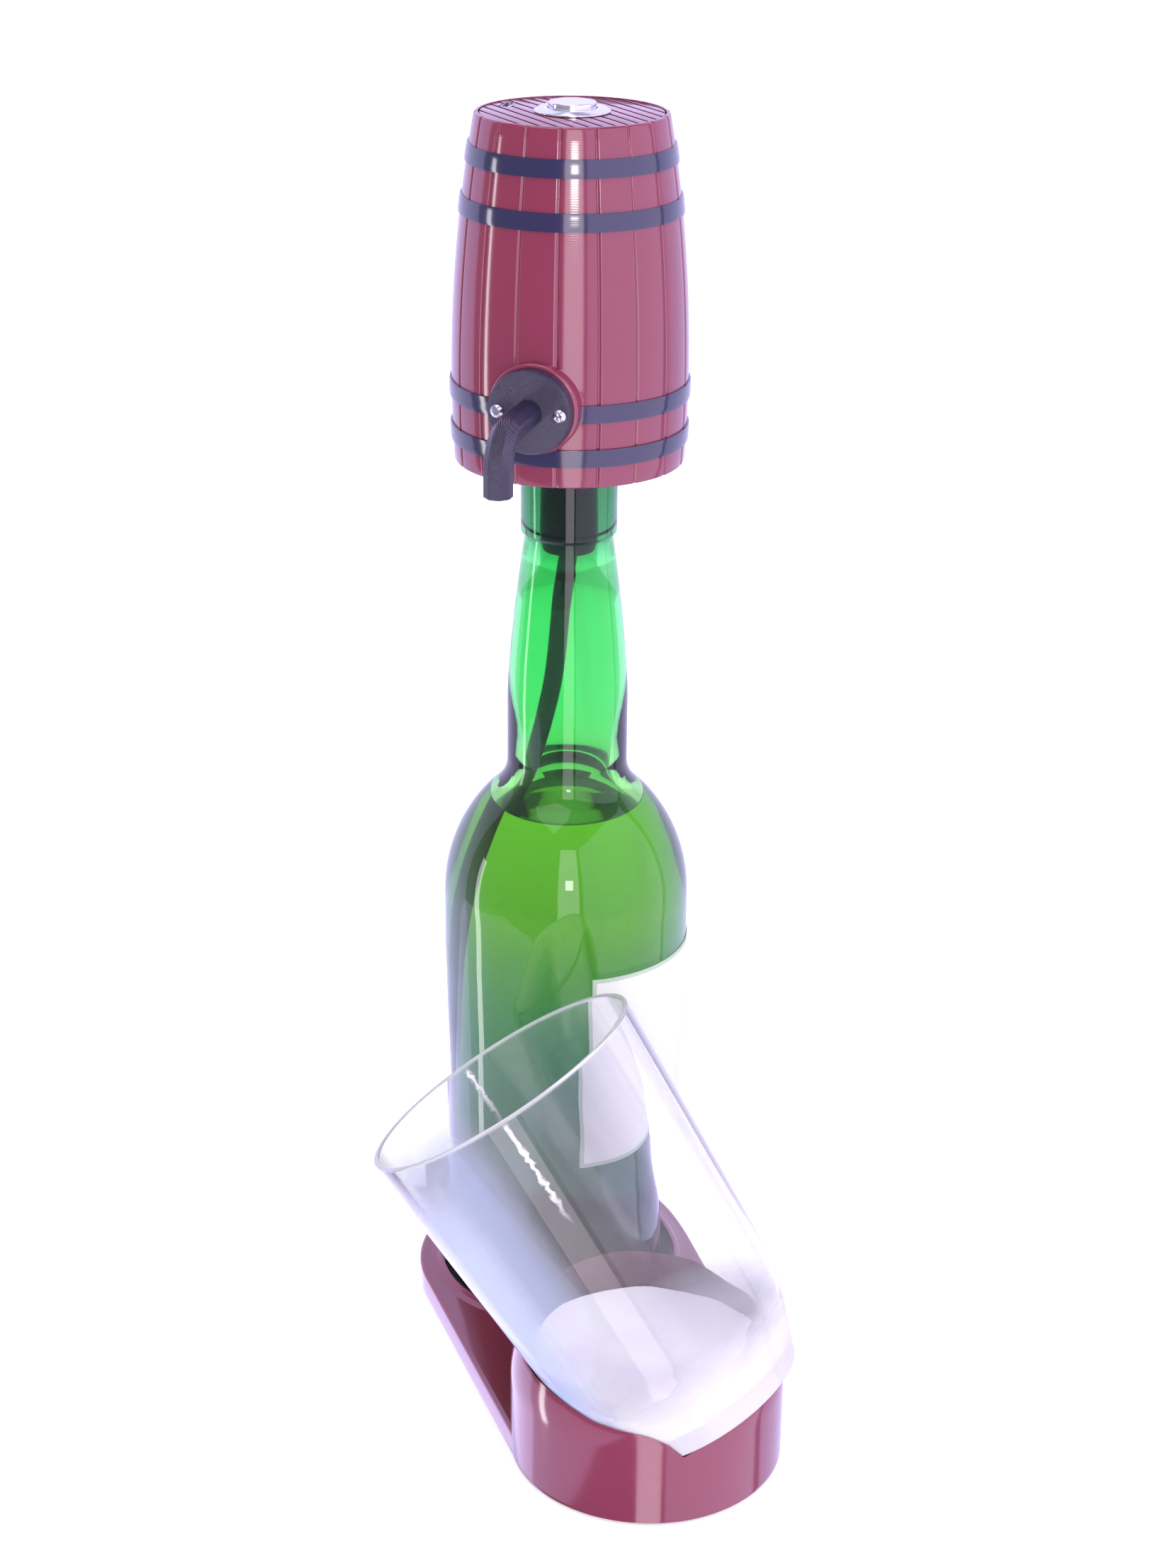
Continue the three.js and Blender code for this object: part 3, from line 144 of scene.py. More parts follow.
def softbox(name, radiance, width, height, place, colour, target=(0.0, 0.0, 0.0)):
    """Sets a plain rectangular lamp, sized in metres, that shines evenly towards a point."""
    lamp = bpy.data.lights.new(name, "AREA")
    lamp.shape = "RECTANGLE"
    lamp.size, lamp.size_y = width, height
    lamp.energy = radiance * 4 * width * height
    lamp.color = linear(colour)[:3]
    stand = bpy.data.objects.new(name, lamp)
    bpy.context.scene.collection.objects.link(stand)
    aim = (Vector(target) - Vector(place)).to_track_quat("-Z", "Y")
    stand.matrix_world = Matrix.Translation(place) @ aim.to_matrix().to_4x4()
    stand.visible_camera = False
    stand.visible_transmission = False
    return stand


# The last two lamps only show as reflections: the wall behind, and the pale table
softbox("front_strip", 2.4, 1.05, 5.6, (0.14, -3.0, 0.0), "#faeaf8")
softbox("right_panel", 1.05, 4.2, 5.6, (1.95, -1.18, 0.0), "#e6daff")
softbox("left_edge", 4.5, 0.24, 1.9, (-2.2, -0.02, -0.35), "#ffffff", target=(0.0, -0.02, 0.1))
softbox("overhead", 1.0, 2.0, 2.0, (-0.4, -0.3, 2.6), "#ffffff")
softbox("front_lamp", 10.0, 0.2, 0.2, (0.095, -1.545, 0.575), "#ffffff", target=(0.0, 0.0, 0.165))
back_panel = softbox("back_panel", 0.85, 9.0, 5.6, (0.0, 1.3, 0.0), "#cfcbff")
straight_up = (-0.36, -0.12, 1.0)
table_sheen = softbox("table_sheen", 0.85, 0.6, 0.6, (-0.36, -0.12, -0.05), "#ddd0ff", target=straight_up)
for lamp in (back_panel, table_sheen):
    lamp.visible_diffuse = False

# Camera
# It stands in front of the object and a little above it, and looks down by 22.8
# degrees with a slight roll. The lens is a plain one of 64.5 mm.

camera_data = bpy.data.cameras.new("camera")
camera_data.lens = 64.53
camera_data.sensor_width = 36
camera_data.clip_end = 50
camera = bpy.data.objects.new("camera", camera_data)
bpy.context.scene.collection.objects.link(camera)
camera_place = (0.006224, -0.843419, 0.539804)
tilt, roll = 0.3973025, -0.010997
level = Vector((1, 0, 0))
down = Vector((0, -math.sin(tilt), -math.cos(tilt)))
right = level * math.cos(roll) + down * math.sin(roll)
up = level * math.sin(roll) - down * math.cos(roll)
back = right.cross(up)
turned_axes = Matrix((right, up, back)).transposed().to_4x4()
camera.matrix_world = Matrix.Translation(camera_place) @ turned_axes
bpy.context.scene.camera = camera
bpy.context.scene.view_settings.view_transform = "Standard"

# Base slab
# A flat tear-shaped foot under the bottle, printed in burgundy PLA in one go with
# the drum in front. A raised lip rings the shallow seat that the bottle stands in.

mm = 0.001


def rounded(corners, steps=5, closed=False):
    """Gives a profile through corners (across, along, fillet) with round fillets."""
    places = [Vector(corner[:2]) for corner in corners]
    count = len(places)
    outline = []
    for i, corner in enumerate(corners):
        fillet = corner[2] if len(corner) > 2 else 0
        if not fillet or (not closed and i in (0, count - 1)):
            outline.append(tuple(places[i]))
            continue
        before = places[i - 1] - places[i]
        after = places[(i + 1) % count] - places[i]
        half = before.angle(after) / 2
        reach = min(fillet / math.tan(half), before.length * 0.49, after.length * 0.49)
        radius = reach * math.tan(half)
        between = (before.normalized() + after.normalized()).normalized()
        middle = places[i] + between * (radius / math.sin(half))
        first = (places[i] + before.normalized() * reach - middle) / radius
        last = (places[i] + after.normalized() * reach - middle) / radius
        sweep = first.angle(last)
        for k in range(steps + 1):
            share = k / steps
            arm = first * math.sin((1 - share) * sweep) + last * math.sin(share * sweep)
            outline.append(tuple(middle + arm * (radius / math.sin(sweep))))
    return outline


def turned(profile, steps=128, closed=False):
    """Turns a profile (radius, height) about Z into a shell, in millimetres."""
    bm = bmesh.new()
    verts = [bm.verts.new((r, 0, z)) for r, z in profile]
    edges = [bm.edges.new(pair) for pair in zip(verts, verts[1:])]
    if closed:
        edges.append(bm.edges.new((verts[-1], verts[0])))
    bmesh.ops.spin(bm, geom=verts + edges, axis=(0, 0, 1), angle=2 * math.pi, steps=steps, use_merge=True)
    bmesh.ops.remove_doubles(bm, verts=bm.verts, dist=0.0004)
    bmesh.ops.recalc_face_normals(bm, faces=bm.faces)
    return bm


def finish_piece(name, bm, materials, body, replaces=(), sharp=38):
    """Turns a bmesh in millimetres into a piece that rides on a body."""
    bmesh.ops.scale(bm, vec=(mm, mm, mm), verts=bm.verts)
    mesh = bpy.data.meshes.new(name)
    bm.to_mesh(mesh)
    bm.free()
    for material in materials:
        mesh.materials.append(material)
    mesh.polygons.foreach_set("use_smooth", [True] * len(mesh.polygons))
    mesh.set_sharp_from_angle(angle=math.radians(sharp))
    piece = bpy.data.objects.new(name, mesh)
    bpy.context.scene.collection.objects.link(piece)
    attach(piece, body)
    if replaces:
        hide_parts(*replaces)
    return piece


def ringed(count, places, closed=False):
    """Makes a shell of rings, extruded from one to the next, and gives it, its last ring and its rows.

    There is a function for each ring, which places a point by its number. A closed shell is
    joined up from its last ring to its first one.
    """
    bm = bmesh.new()
    number = bm.verts.layers.int.new("number")
    row = bm.verts.layers.int.new("row")
    for i, vert in enumerate(bmesh.ops.create_circle(bm, segments=count, radius=1)["verts"]):
        vert[number] = i
        vert.co = places[0](i)
    first = edges = bm.edges[:]
    for place in places[1:]:
        made = bmesh.ops.extrude_edge_only(bm, edges=edges)["geom"]
        fresh = {item for item in made if isinstance(item, bmesh.types.BMVert)}
        for vert in fresh:
            vert.co = place(vert[number])
            vert[row] += 1
        edges = [e for e in made if isinstance(e, bmesh.types.BMEdge) and set(e.verts) <= fresh]
    if closed:
        bmesh.ops.bridge_loops(bm, edges=first + edges)
        bmesh.ops.recalc_face_normals(bm, faces=bm.faces)
    return bm, edges, row


wave_unit = 0.314  # metres between the bands of a wave texture at a scale of 1


def printed_silk(name, dark, light, layer_mm=0.7):
    """Silk PLA, 3-D printed in thin layers: a saturated colour under a smooth sheen.

    The layer lines are faint and level, and drawn wider apart than real so that they show.
    """
    material, tree = new_material(name)
    place = add_node(tree, "TexCoord").outputs["Object"]
    cloud = add_node(tree, "TexNoise", Vector=place, Scale=22.0, Detail=3.0)
    tone = add_node(tree, "Mix", colours, Factor=cloud, A=dark, B=light)
    level = {"bands_direction": "Z"}
    uneven = {"Distortion": 0.6, "Detail": 2.0, "Detail_Scale": 3.0}
    wave = add_node(tree, "TexWave", level, Vector=place, Scale=wave_unit / (layer_mm * mm), **uneven)
    fine = add_node(tree, "TexNoise", Vector=place, Scale=900.0, Detail=2.0)
    relief = add_node(tree, "Math", multiply_add, _0=fine, _1=0.35, _2=wave.outputs["Fac"])
    bump = add_node(tree, "Bump", Height=relief, Strength=0.10, Distance=0.00005)
    gloss = add_node(tree, "MapRange", Value=cloud, To_Min=0.08, To_Max=0.17)
    looks = {"IOR": 1.5, "Specular_IOR_Level": 0.8, "Coat_Weight": 0.4, "Coat_Roughness": 0.06}
    shader = add_node(tree, "BsdfPrincipled", Base_Color=tone, Roughness=gloss, Normal=bump, **looks)
    return surfaced(material, shader)


burgundy_silk = printed_silk("burgundy_silk_pla", "#7c2740", "#88304b")

foot_level, slab_top = 0.8, 8.6  # underside, on the feet, and upper face
slab_radius, slab_round = 50.0, 1.5
drum_radius, drum_shy = 43.0, 0.4  # the slab's tongue stays this far inside the drum
drum_middle = Vector((27.4, -98.2))
seat_radius, seat_floor, lip_top = 41.7, 3.6, 9.9
apart = drum_middle.length
heading = math.atan2(drum_middle.y, drum_middle.x)


def slab_reach(turn, inset):
    """How far the slab's edge is from the bottle's axis in one direction."""
    rear, front = slab_radius - inset, drum_radius - drum_shy - inset
    tangent = math.acos((rear - front) / apart)
    off = abs((turn - heading + math.pi) % (2 * math.pi) - math.pi)
    if off > tangent:
        return rear
    corner = Vector((apart + front * math.cos(tangent), front * math.sin(tangent)))
    if off > math.atan2(corner.y, corner.x):
        return rear / math.cos(off - tangent)
    return apart * math.cos(off) + math.sqrt(front**2 - (apart * math.sin(off)) ** 2)


slab_steps = 288


def slab_ring(inset, height):
    """Places a ring of the slab's edge."""

    def place(i):
        turn = 2 * math.pi * i / slab_steps
        reach = slab_reach(turn, inset)
        return Vector((reach * math.cos(turn), reach * math.sin(turn), height))

    return place


def round_ring(radius, height):
    """Places a round ring of the bottle's seat."""

    def place(i):
        turn = 2 * math.pi * i / slab_steps
        return Vector((radius * math.cos(turn), radius * math.sin(turn), height))

    return place


lip = [(0, seat_floor), (0, lip_top, 0.4), (1.2, lip_top, 0.5), (2.2, 9.1, 1.5)]
lip += [(4.4, slab_top, 1.0), (4.9, slab_top)]
lip = rounded([(seat_radius + r, *rest) for r, *rest in lip], steps=4)
slab_edge = []
for bend in [math.pi / 2 * k / 6 for k in range(7)]:
    slab_edge.append((slab_round * (1 - math.sin(bend)), slab_top - slab_round * (1 - math.cos(bend))))
slab_edge += [(0, foot_level + 0.5), (0.5, foot_level)]
places = [round_ring(0.01, seat_floor)] + [round_ring(*point) for point in lip]
bm, edges, row = ringed(slab_steps, places + [slab_ring(*point) for point in slab_edge])
bmesh.ops.edgeloop_fill(bm, edges=edges)
bmesh.ops.remove_doubles(bm, verts=bm.verts, dist=0.02)
bmesh.ops.recalc_face_normals(bm, faces=bm.faces)
finish_piece("tear_shaped_slab", bm, [burgundy_silk], "base", ["base_slab"])

# Drum with the slanted seat
# The drum in front rounds over at its top and is cut away by the shape of the
# leaning glass, so that the glass lies in it by its own weight. Same burgundy PLA.

glass_foot = Vector((47.35, -110.4, 24.85))  # middle of the glass's underside
lean_back, lean_left = math.radians(-11.7), math.radians(-32.9)
glass_place = Matrix.Translation(glass_foot) @ Matrix.Rotation(lean_back, 4, "X")
glass_place = glass_place @ Matrix.Rotation(lean_left, 4, "Y")
foot_radius, mouth_radius, glass_height = 30.6, 45.75, 122.6
taper = [(31.53, 2.9), (34.785, 11.89), (37.389, 17.98), (39.249, 23.49), (39.9, 29.0)]
taper_round = 14  # fillet at each corner of the foot's taper
seat_gap = 0.45
drum_straight, drum_round = 27.0, 30.0


def drum_point(turn, along):
    """A point of the drum's outside, from its direction and the way up its side."""
    straight = drum_straight - foot_level
    radius, height = drum_radius, foot_level + along
    if along > straight:
        bend = (along - straight) / drum_round
        radius = drum_radius - drum_round + drum_round * math.cos(bend)
        height = drum_straight + drum_round * math.sin(bend)
    return Vector((drum_middle.x + radius * math.cos(turn), drum_middle.y + radius * math.sin(turn), height))


def drum_depth(point):
    """Below zero inside the drum, above zero outside it."""
    across = (Vector(point[:2]) - drum_middle).length
    if point.z <= drum_straight:
        return across - drum_radius
    return math.hypot(across - (drum_radius - drum_round), point.z - drum_straight) - drum_round


seat_corners = [(-seat_gap, -seat_gap), (foot_radius, -seat_gap, 1.2)]
seat_corners += [(r, t, taper_round) for r, t in taper] + [(mouth_radius, glass_height)]
seat_profile = rounded([(r + seat_gap, *rest) for r, *rest in seat_corners], steps=6)
seat_path = []
path_step = 0.25
for (r0, t0), (r1, t1) in zip(seat_profile, seat_profile[1:]):
    pieces = max(1, int(math.hypot(r1 - r0, t1 - t0) / path_step))
    seat_path += [(r0 + (r1 - r0) * k / pieces, t0 + (t1 - t0) * k / pieces) for k in range(pieces)]


def seat_point(turn, r, t):
    """A point of the seat, from the leaning glass's own radius and height."""
    return glass_place @ Vector((r * math.cos(turn), r * math.sin(turn), t))


# Where the seat's side comes out of the drum, all round: its step, and the point there
seat_steps = 480
rims = []
for i in range(seat_steps):
    turn = 2 * math.pi * i / seat_steps
    for k, (r, t) in enumerate(seat_path):
        if drum_depth(seat_point(turn, r, t)) > 0:
            break
    inner, outer = Vector(seat_path[k - 1]), Vector(seat_path[k])
    for _ in range(20):
        middle = (inner + outer) / 2
        if drum_depth(seat_point(turn, *middle)) > 0:
            outer = middle
        else:
            inner = middle
    rims.append((k - 1, tuple(inner)))


def rim_on_drum(i):
    """Direction and way up the drum's side of one point of the cut."""
    point = seat_point(2 * math.pi * i / seat_steps, *rims[i][1])
    across = Vector(point[:2]) - drum_middle
    along = point.z - foot_level
    if point.z > drum_straight:
        bend = math.atan2(point.z - drum_straight, across.length - (drum_radius - drum_round))
        along = drum_straight - foot_level + drum_round * bend
    return math.atan2(across.y, across.x), along


def seat_inward(share):
    """Places a ring of the seat's surface, from the cut's edge towards its middle."""

    def place(i):
        travel = rims[i][0] * (1 - share)
        k = int(travel)
        r0, t0 = seat_path[k]
        r1, t1 = seat_path[min(k + 1, len(seat_path) - 1)]
        part = travel - k
        return seat_point(2 * math.pi * i / seat_steps, r0 + (r1 - r0) * part, t0 + (t1 - t0) * part)

    return place


rim_places = [rim_on_drum(i) for i in range(seat_steps)]
drum_foot = Vector((*drum_middle, foot_level))
foot_inset, side_rings = 0.5, 26


def drum_side(share):
    """Places a ring of the drum's side, a share of the way up to the cut."""
    return lambda i: drum_point(rim_places[i][0], rim_places[i][1] * share)


def round_over(bm, edges, offset):
    """Rounds edges over in three steps."""
    shape = {"segments": 3, "profile": 0.5, "affect": "EDGES"}
    bmesh.ops.bevel(bm, geom=edges, offset=offset, clamp_overlap=True, material=-1, **shape)


places = [lambda i: drum_side(0)(i).lerp(drum_foot, foot_inset / drum_radius), drum_side(0.012)]
places += [drum_side(k / side_rings) for k in range(1, side_rings + 1)]
rim_row = len(places) - 1
shares = [0.02, 0.05, 0.1, 0.16, 0.24, 0.32, 0.4, 0.5, 0.6, 0.7, 0.8, 0.9, 0.97, 1.0]
bm, edges, row = ringed(seat_steps, places + [seat_inward(share) for share in shares])
crest = [edge for edge in bm.edges if all(vert[row] == rim_row for vert in edge.verts)]
round_over(bm, crest, 0.55)
bmesh.ops.remove_doubles(bm, verts=bm.verts, dist=0.0004)
bmesh.ops.recalc_face_normals(bm, faces=bm.faces)
cradle = ["glass_cradle"]
finish_piece("drum_with_slanted_seat", bm, [burgundy_silk], "base", cradle, sharp=50)

# Mat and feet
# Discs of black rubber: one in the bottle's seat, so that the glass doesn't stand
# on hard plastic, and two stuck under the base.


def soft_rubber(name, colour):
    """Rubber: dull, with a fine grain and a few paler worn patches."""
    material, tree = new_material(name)
    place = add_node(tree, "TexCoord").outputs["Object"]
    grain = add_node(tree, "TexNoise", Vector=place, Scale=1400.0, Detail=3.0)
    bump = add_node(tree, "Bump", Height=grain, Strength=0.25, Distance=0.0001)
    wear = add_node(tree, "TexNoise", Vector=place, Scale=40.0, Detail=4.0)
    tone = add_node(tree, "Mix", colours, Factor=wear, A=colour, B="#1c1c22")
    looks = {"Roughness": 0.62, "IOR": 1.5, "Specular_IOR_Level": 0.2}
    shader = add_node(tree, "BsdfPrincipled", Base_Color=tone, Normal=bump, **looks)
    return surfaced(material, shader)


def put_on(node, material):
    """Gives a plain solid that is carried over its material."""
    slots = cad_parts[node].data.materials
    slots.clear()
    slots.append(material)


black_rubber = soft_rubber("black_rubber", "#101014")
mat_radius, mat_low, mat_top = seat_radius - 0.5, seat_floor + 0.02, 5.0
bm = turned(rounded([(0, mat_low), (mat_radius, mat_low), (mat_radius, mat_top, 0.4), (0, mat_top)]))
finish_piece("bottle_seat_mat", bm, [black_rubber], "base", ["bottle_mat"])
for node in ("rear_foot_pad", "front_foot_pad"):
    put_on(node, black_rubber)

# Tilted glass
# A thin clear cider glass with a heavy tapered foot, pressed and fire-polished. It
# only rests in the seat, and lifts straight out along its own axis.


def glass_with_painted_glare():
    """Clear glass with faint white streaks, and painted light in its colour: a bluish painted reflection
    down the lower wall, painted white glare on the foot, and painted highlights on the rim, on grazing edges
    and in two thin streaks.
    """
    material, tree = new_material("clear_soda_glass")
    own = add_node(tree, "Attribute", {"attribute_name": "own_place"}).outputs["Vector"]
    x, _, z = add_node(tree, "SeparateXYZ", Vector=own).outputs
    wobble = add_node(tree, "TexNoise", Vector=own, Scale=380.0, Detail=3.0)
    dot = {"operation": "DOT_PRODUCT"}

    def painted_highlight_streak(angle, low, high):
        """A thin painted highlight streak down the wall at one angle, from high to low, in place of a lamp's
        reflection.
        """
        turn = math.radians(angle)
        out, aside = (math.cos(turn), math.sin(turn), 0.0), (-math.sin(turn), math.cos(turn), 0.0)
        across = add_node(tree, "VectorMath", dot, _0=own, _1=aside)
        wavy = add_node(tree, "Math", multiply_add, _0=wobble, _1=0.004, _2=-0.002)
        beside = add_node(tree, "Math", _0=across, _1=wavy)
        apart = add_node(tree, "Math", {"operation": "ABSOLUTE"}, _0=beside)
        thin = add_node(tree, "MapRange", Value=apart, From_Min=0.0009, From_Max=0.0003)
        this_side = add_node(tree, "VectorMath", dot, _0=own, _1=out)
        front = add_node(tree, "MapRange", Value=this_side, From_Max=0.01)
        end = add_node(tree, "MapRange", Value=z, From_Min=low, From_Max=low + 0.02)
        start = add_node(tree, "MapRange", Value=z, From_Min=high, From_Max=high - 0.002)
        glint_line = thin
        for share in (front, end, start):
            glint_line = add_node(tree, "Math", multiply, _0=glint_line, _1=share)
        return glint_line

    # Painted reflection: a dense bluish white sheet down the underside of the wall
    under = add_node(tree, "MapRange", smoothly, Value=x, From_Min=-0.017, From_Max=-0.034)
    low = add_node(tree, "MapRange", Value=z, From_Min=0.118, From_Max=0.088, To_Max=0.8)
    wall = add_node(tree, "Math", multiply, _0=under, _1=low)
    # Painted glare: white over the foot
    foot = add_node(tree, "MapRange", Value=z, From_Min=0.029, From_Max=0.014, To_Max=0.62)
    # Painted highlight round the rim
    rim = add_node(tree, "MapRange", Value=z, From_Min=0.1212, From_Max=0.1222, To_Max=0.45)
    along = add_node(tree, "Mapping", Vector=own, Scale=(1.0, 1.0, 0.06))
    streaks = add_node(tree, "TexNoise", Vector=along, Scale=110.0, Detail=2.0)
    streaks_and_painted_glare = add_node(tree, "MapRange", Value=streaks, From_Min=0.42, From_Max=0.62, To_Max=0.03)
    # Painted highlight: white along the edges seen at a grazing angle
    facing = add_node(tree, "LayerWeight", Blend=0.5).outputs["Facing"]
    edge = add_node(tree, "MapRange", Value=facing, From_Min=0.62, From_Max=0.85, To_Max=0.5)
    for painted_glare in (wall, foot, rim, edge, painted_highlight_streak(273.5, 0.084, 0.1215), painted_highlight_streak(110.0, 0.098, 0.1215)):
        streaks_and_painted_glare = add_node(tree, "Math", {"operation": "MAXIMUM"}, _0=streaks_and_painted_glare, _1=painted_glare)
    clear = add_node(tree, "Math", {"operation": "SUBTRACT"}, _0=1.0, _1=streaks_and_painted_glare)
    flutes = add_node(tree, "TexNoise", Vector=along, Scale=55.0, Detail=1.0)
    bump = add_node(tree, "Bump", Height=flutes, Strength=0.4, Distance=0.0007)
    # White for the painted glare, bluish where it is the painted wall reflection
    cool = add_node(tree, "Mix", colours, Factor=wall, A="#fbfaff", B="#c3d5ff")
    looks = {"Base_Color": cool, "Roughness": 0.0, "IOR": 1.47, "Transmission_Weight": clear}
    shader = add_node(tree, "BsdfPrincipled", Normal=bump, **looks)
    return surfaced(material, shader)


clear_glass = glass_with_painted_glare()
glass_wall, glass_floor, floor_radius, floor_round, rim_round = 1.8, 7.0, 31.9, 4.5, 0.85
outside = [(0, 0), (foot_radius, 0, 1.0)] + [(r, t, taper_round) for r, t in taper]
outside += [(r, glass_height, rim_round) for r in (mouth_radius, mouth_radius - glass_wall)]
inside = [(r - glass_wall, t, taper_round) for r, t in reversed(taper[1:])]
inside += [(floor_radius, glass_floor, floor_round), (0, glass_floor)]
bm = turned(rounded(outside + inside, steps=8), steps=160)
own_place = bm.verts.layers.float_vector.new("own_place")
for vert in bm.verts:
    vert[own_place] = vert.co * mm
bmesh.ops.transform(bm, matrix=glass_place, verts=bm.verts)
finish_piece("leaning_glass", bm, [clear_glass], "glass_body", ["cider_glass"], sharp=60)

# Poured cider
# A first splash of cider, gone to white froth, lies level in the low corner of the
# leaning glass. It isn't a solid of its own, and goes where the glass goes.


def froth_with_painted_glow():
    """Fine cider froth: white with a lilac cast, full of small bubbles.

    It is given a faint painted glow, an emission, so that it shows bright inside the glass.
    """
    material, tree = new_material("white_cider_froth")
    place = add_node(tree, "TexCoord").outputs["Object"]
    soft_cells = {"feature": "SMOOTH_F1"}
    bubbles = add_node(tree, "TexVoronoi", soft_cells, Vector=place, Scale=700.0, Smoothness=0.4)
    bump = add_node(tree, "Bump", Height=bubbles, Strength=0.25, Distance=0.0003)
    cloud = add_node(tree, "TexNoise", Vector=place, Scale=38.0, Detail=3.0)
    share = add_node(tree, "MapRange", Value=cloud, From_Min=0.38, From_Max=0.6)
    tone = add_node(tree, "Mix", colours, Factor=share, A="#f0e8f6", B="#fefcff")
    # Painted glow: a faint emission, though the froth is no lamp
    looks = {"Roughness": 0.45, "IOR": 1.34, "Emission_Color": "#f4eeff", "Emission_Strength": 0.22}
    shader = add_node(tree, "BsdfPrincipled", Base_Color=tone, Normal=bump, **looks)
    return surfaced(material, shader)


splash_level, splash_overlap, splash_reach = 38.0, 0.05, 80.0
splash_floor = glass_floor - splash_overlap
splash = [(0, splash_floor), (floor_radius + splash_overlap, splash_floor, floor_round)]
splash += [(r - glass_wall + splash_overlap, t, taper_round) for r, t in taper[1:]]
splash += [(42.3, splash_reach), (0, splash_reach)]
bm = turned(rounded(splash, steps=6), steps=128)
bmesh.ops.transform(bm, matrix=glass_place, verts=bm.verts)
whole = bm.verts[:] + bm.edges[:] + bm.faces[:]
bmesh.ops.bisect_plane(bm, geom=whole, plane_co=(0, 0, splash_level), plane_no=(0, 0, 1), clear_outer=True)
shore = [edge for edge in bm.edges if edge.is_boundary]
bmesh.ops.edgeloop_fill(bm, edges=shore)
bmesh.ops.recalc_face_normals(bm, faces=bm.faces)
finish_piece("froth_in_glass", bm, [froth_with_painted_glow()], "glass_body", sharp=40)

# Cider bottle
# A 70 cl bottle of green container glass, blown into a mould, with a punt, a long
# shoulder and a band round its mouth. The glass is darker low down.


bottle_foot, mouth = 5.0, 296.0
neck_low, neck_high = 218, 272
neck_radius, neck_top_radius, neck_curve = 19.35, 13.8, 1.4
body_rows = [(37.6, 50.0), (38.6, 82.0), (39.4, 105.0), (40.0, 130.0)]
shoulder_arc, shoulder_across, shoulder_height = 51, -11, 149  # radius and middle of the shoulder's arc
hollow_arc, hollow_across = 12, 31.35  # and of the hollow one that leads into the neck


def bottle_neck(height):
    """Radius of the neck, which narrows towards the band."""
    share = max((height - neck_low) / (neck_high - neck_low), 0)
    return neck_radius - (neck_radius - neck_top_radius) * share**neck_curve


def bottle_wall(height):
    """The blown wall is thickest in the shoulder and thinnest in the neck."""
    rows = [(0, 3.0), (146, 3.0), (184, 5.8), (224, 2.2), (300, 1.8)]
    for (h0, w0), (h1, w1) in zip(rows, rows[1:]):
        if height <= h1:
            share = (height - h0) / (h1 - h0)
            return w0 + (w1 - w0) * share * share * (3 - 2 * share)


def bottle_profile(share, spare=0.0):
    """Side of the bottle from its heel to below the band, moved in by a share of its wall."""

    def inset(height):
        return share * bottle_wall(height) - spare

    across = hollow_across - shoulder_across
    lift = math.sqrt((shoulder_arc + hollow_arc) ** 2 - across**2)
    lean = math.atan2(lift, across)
    hollow_height = shoulder_height + lift
    side = [(r - inset(h), h) for r, h in body_rows]
    for k in range(13):
        bend = lean * k / 12
        reach = shoulder_arc - inset(shoulder_height + shoulder_arc * math.sin(bend))
        side.append((shoulder_across + reach * math.cos(bend), shoulder_height + reach * math.sin(bend)))
    for k in range(1, 7):
        bend = lean + math.pi - lean * k / 6
        reach = hollow_arc + inset(hollow_height + hollow_arc * math.sin(bend))
        side.append((hollow_across + reach * math.cos(bend), hollow_height + reach * math.sin(bend)))
    side += [(bottle_neck(h) - inset(h), float(h)) for h in range(206, 258, 4)]
    return side


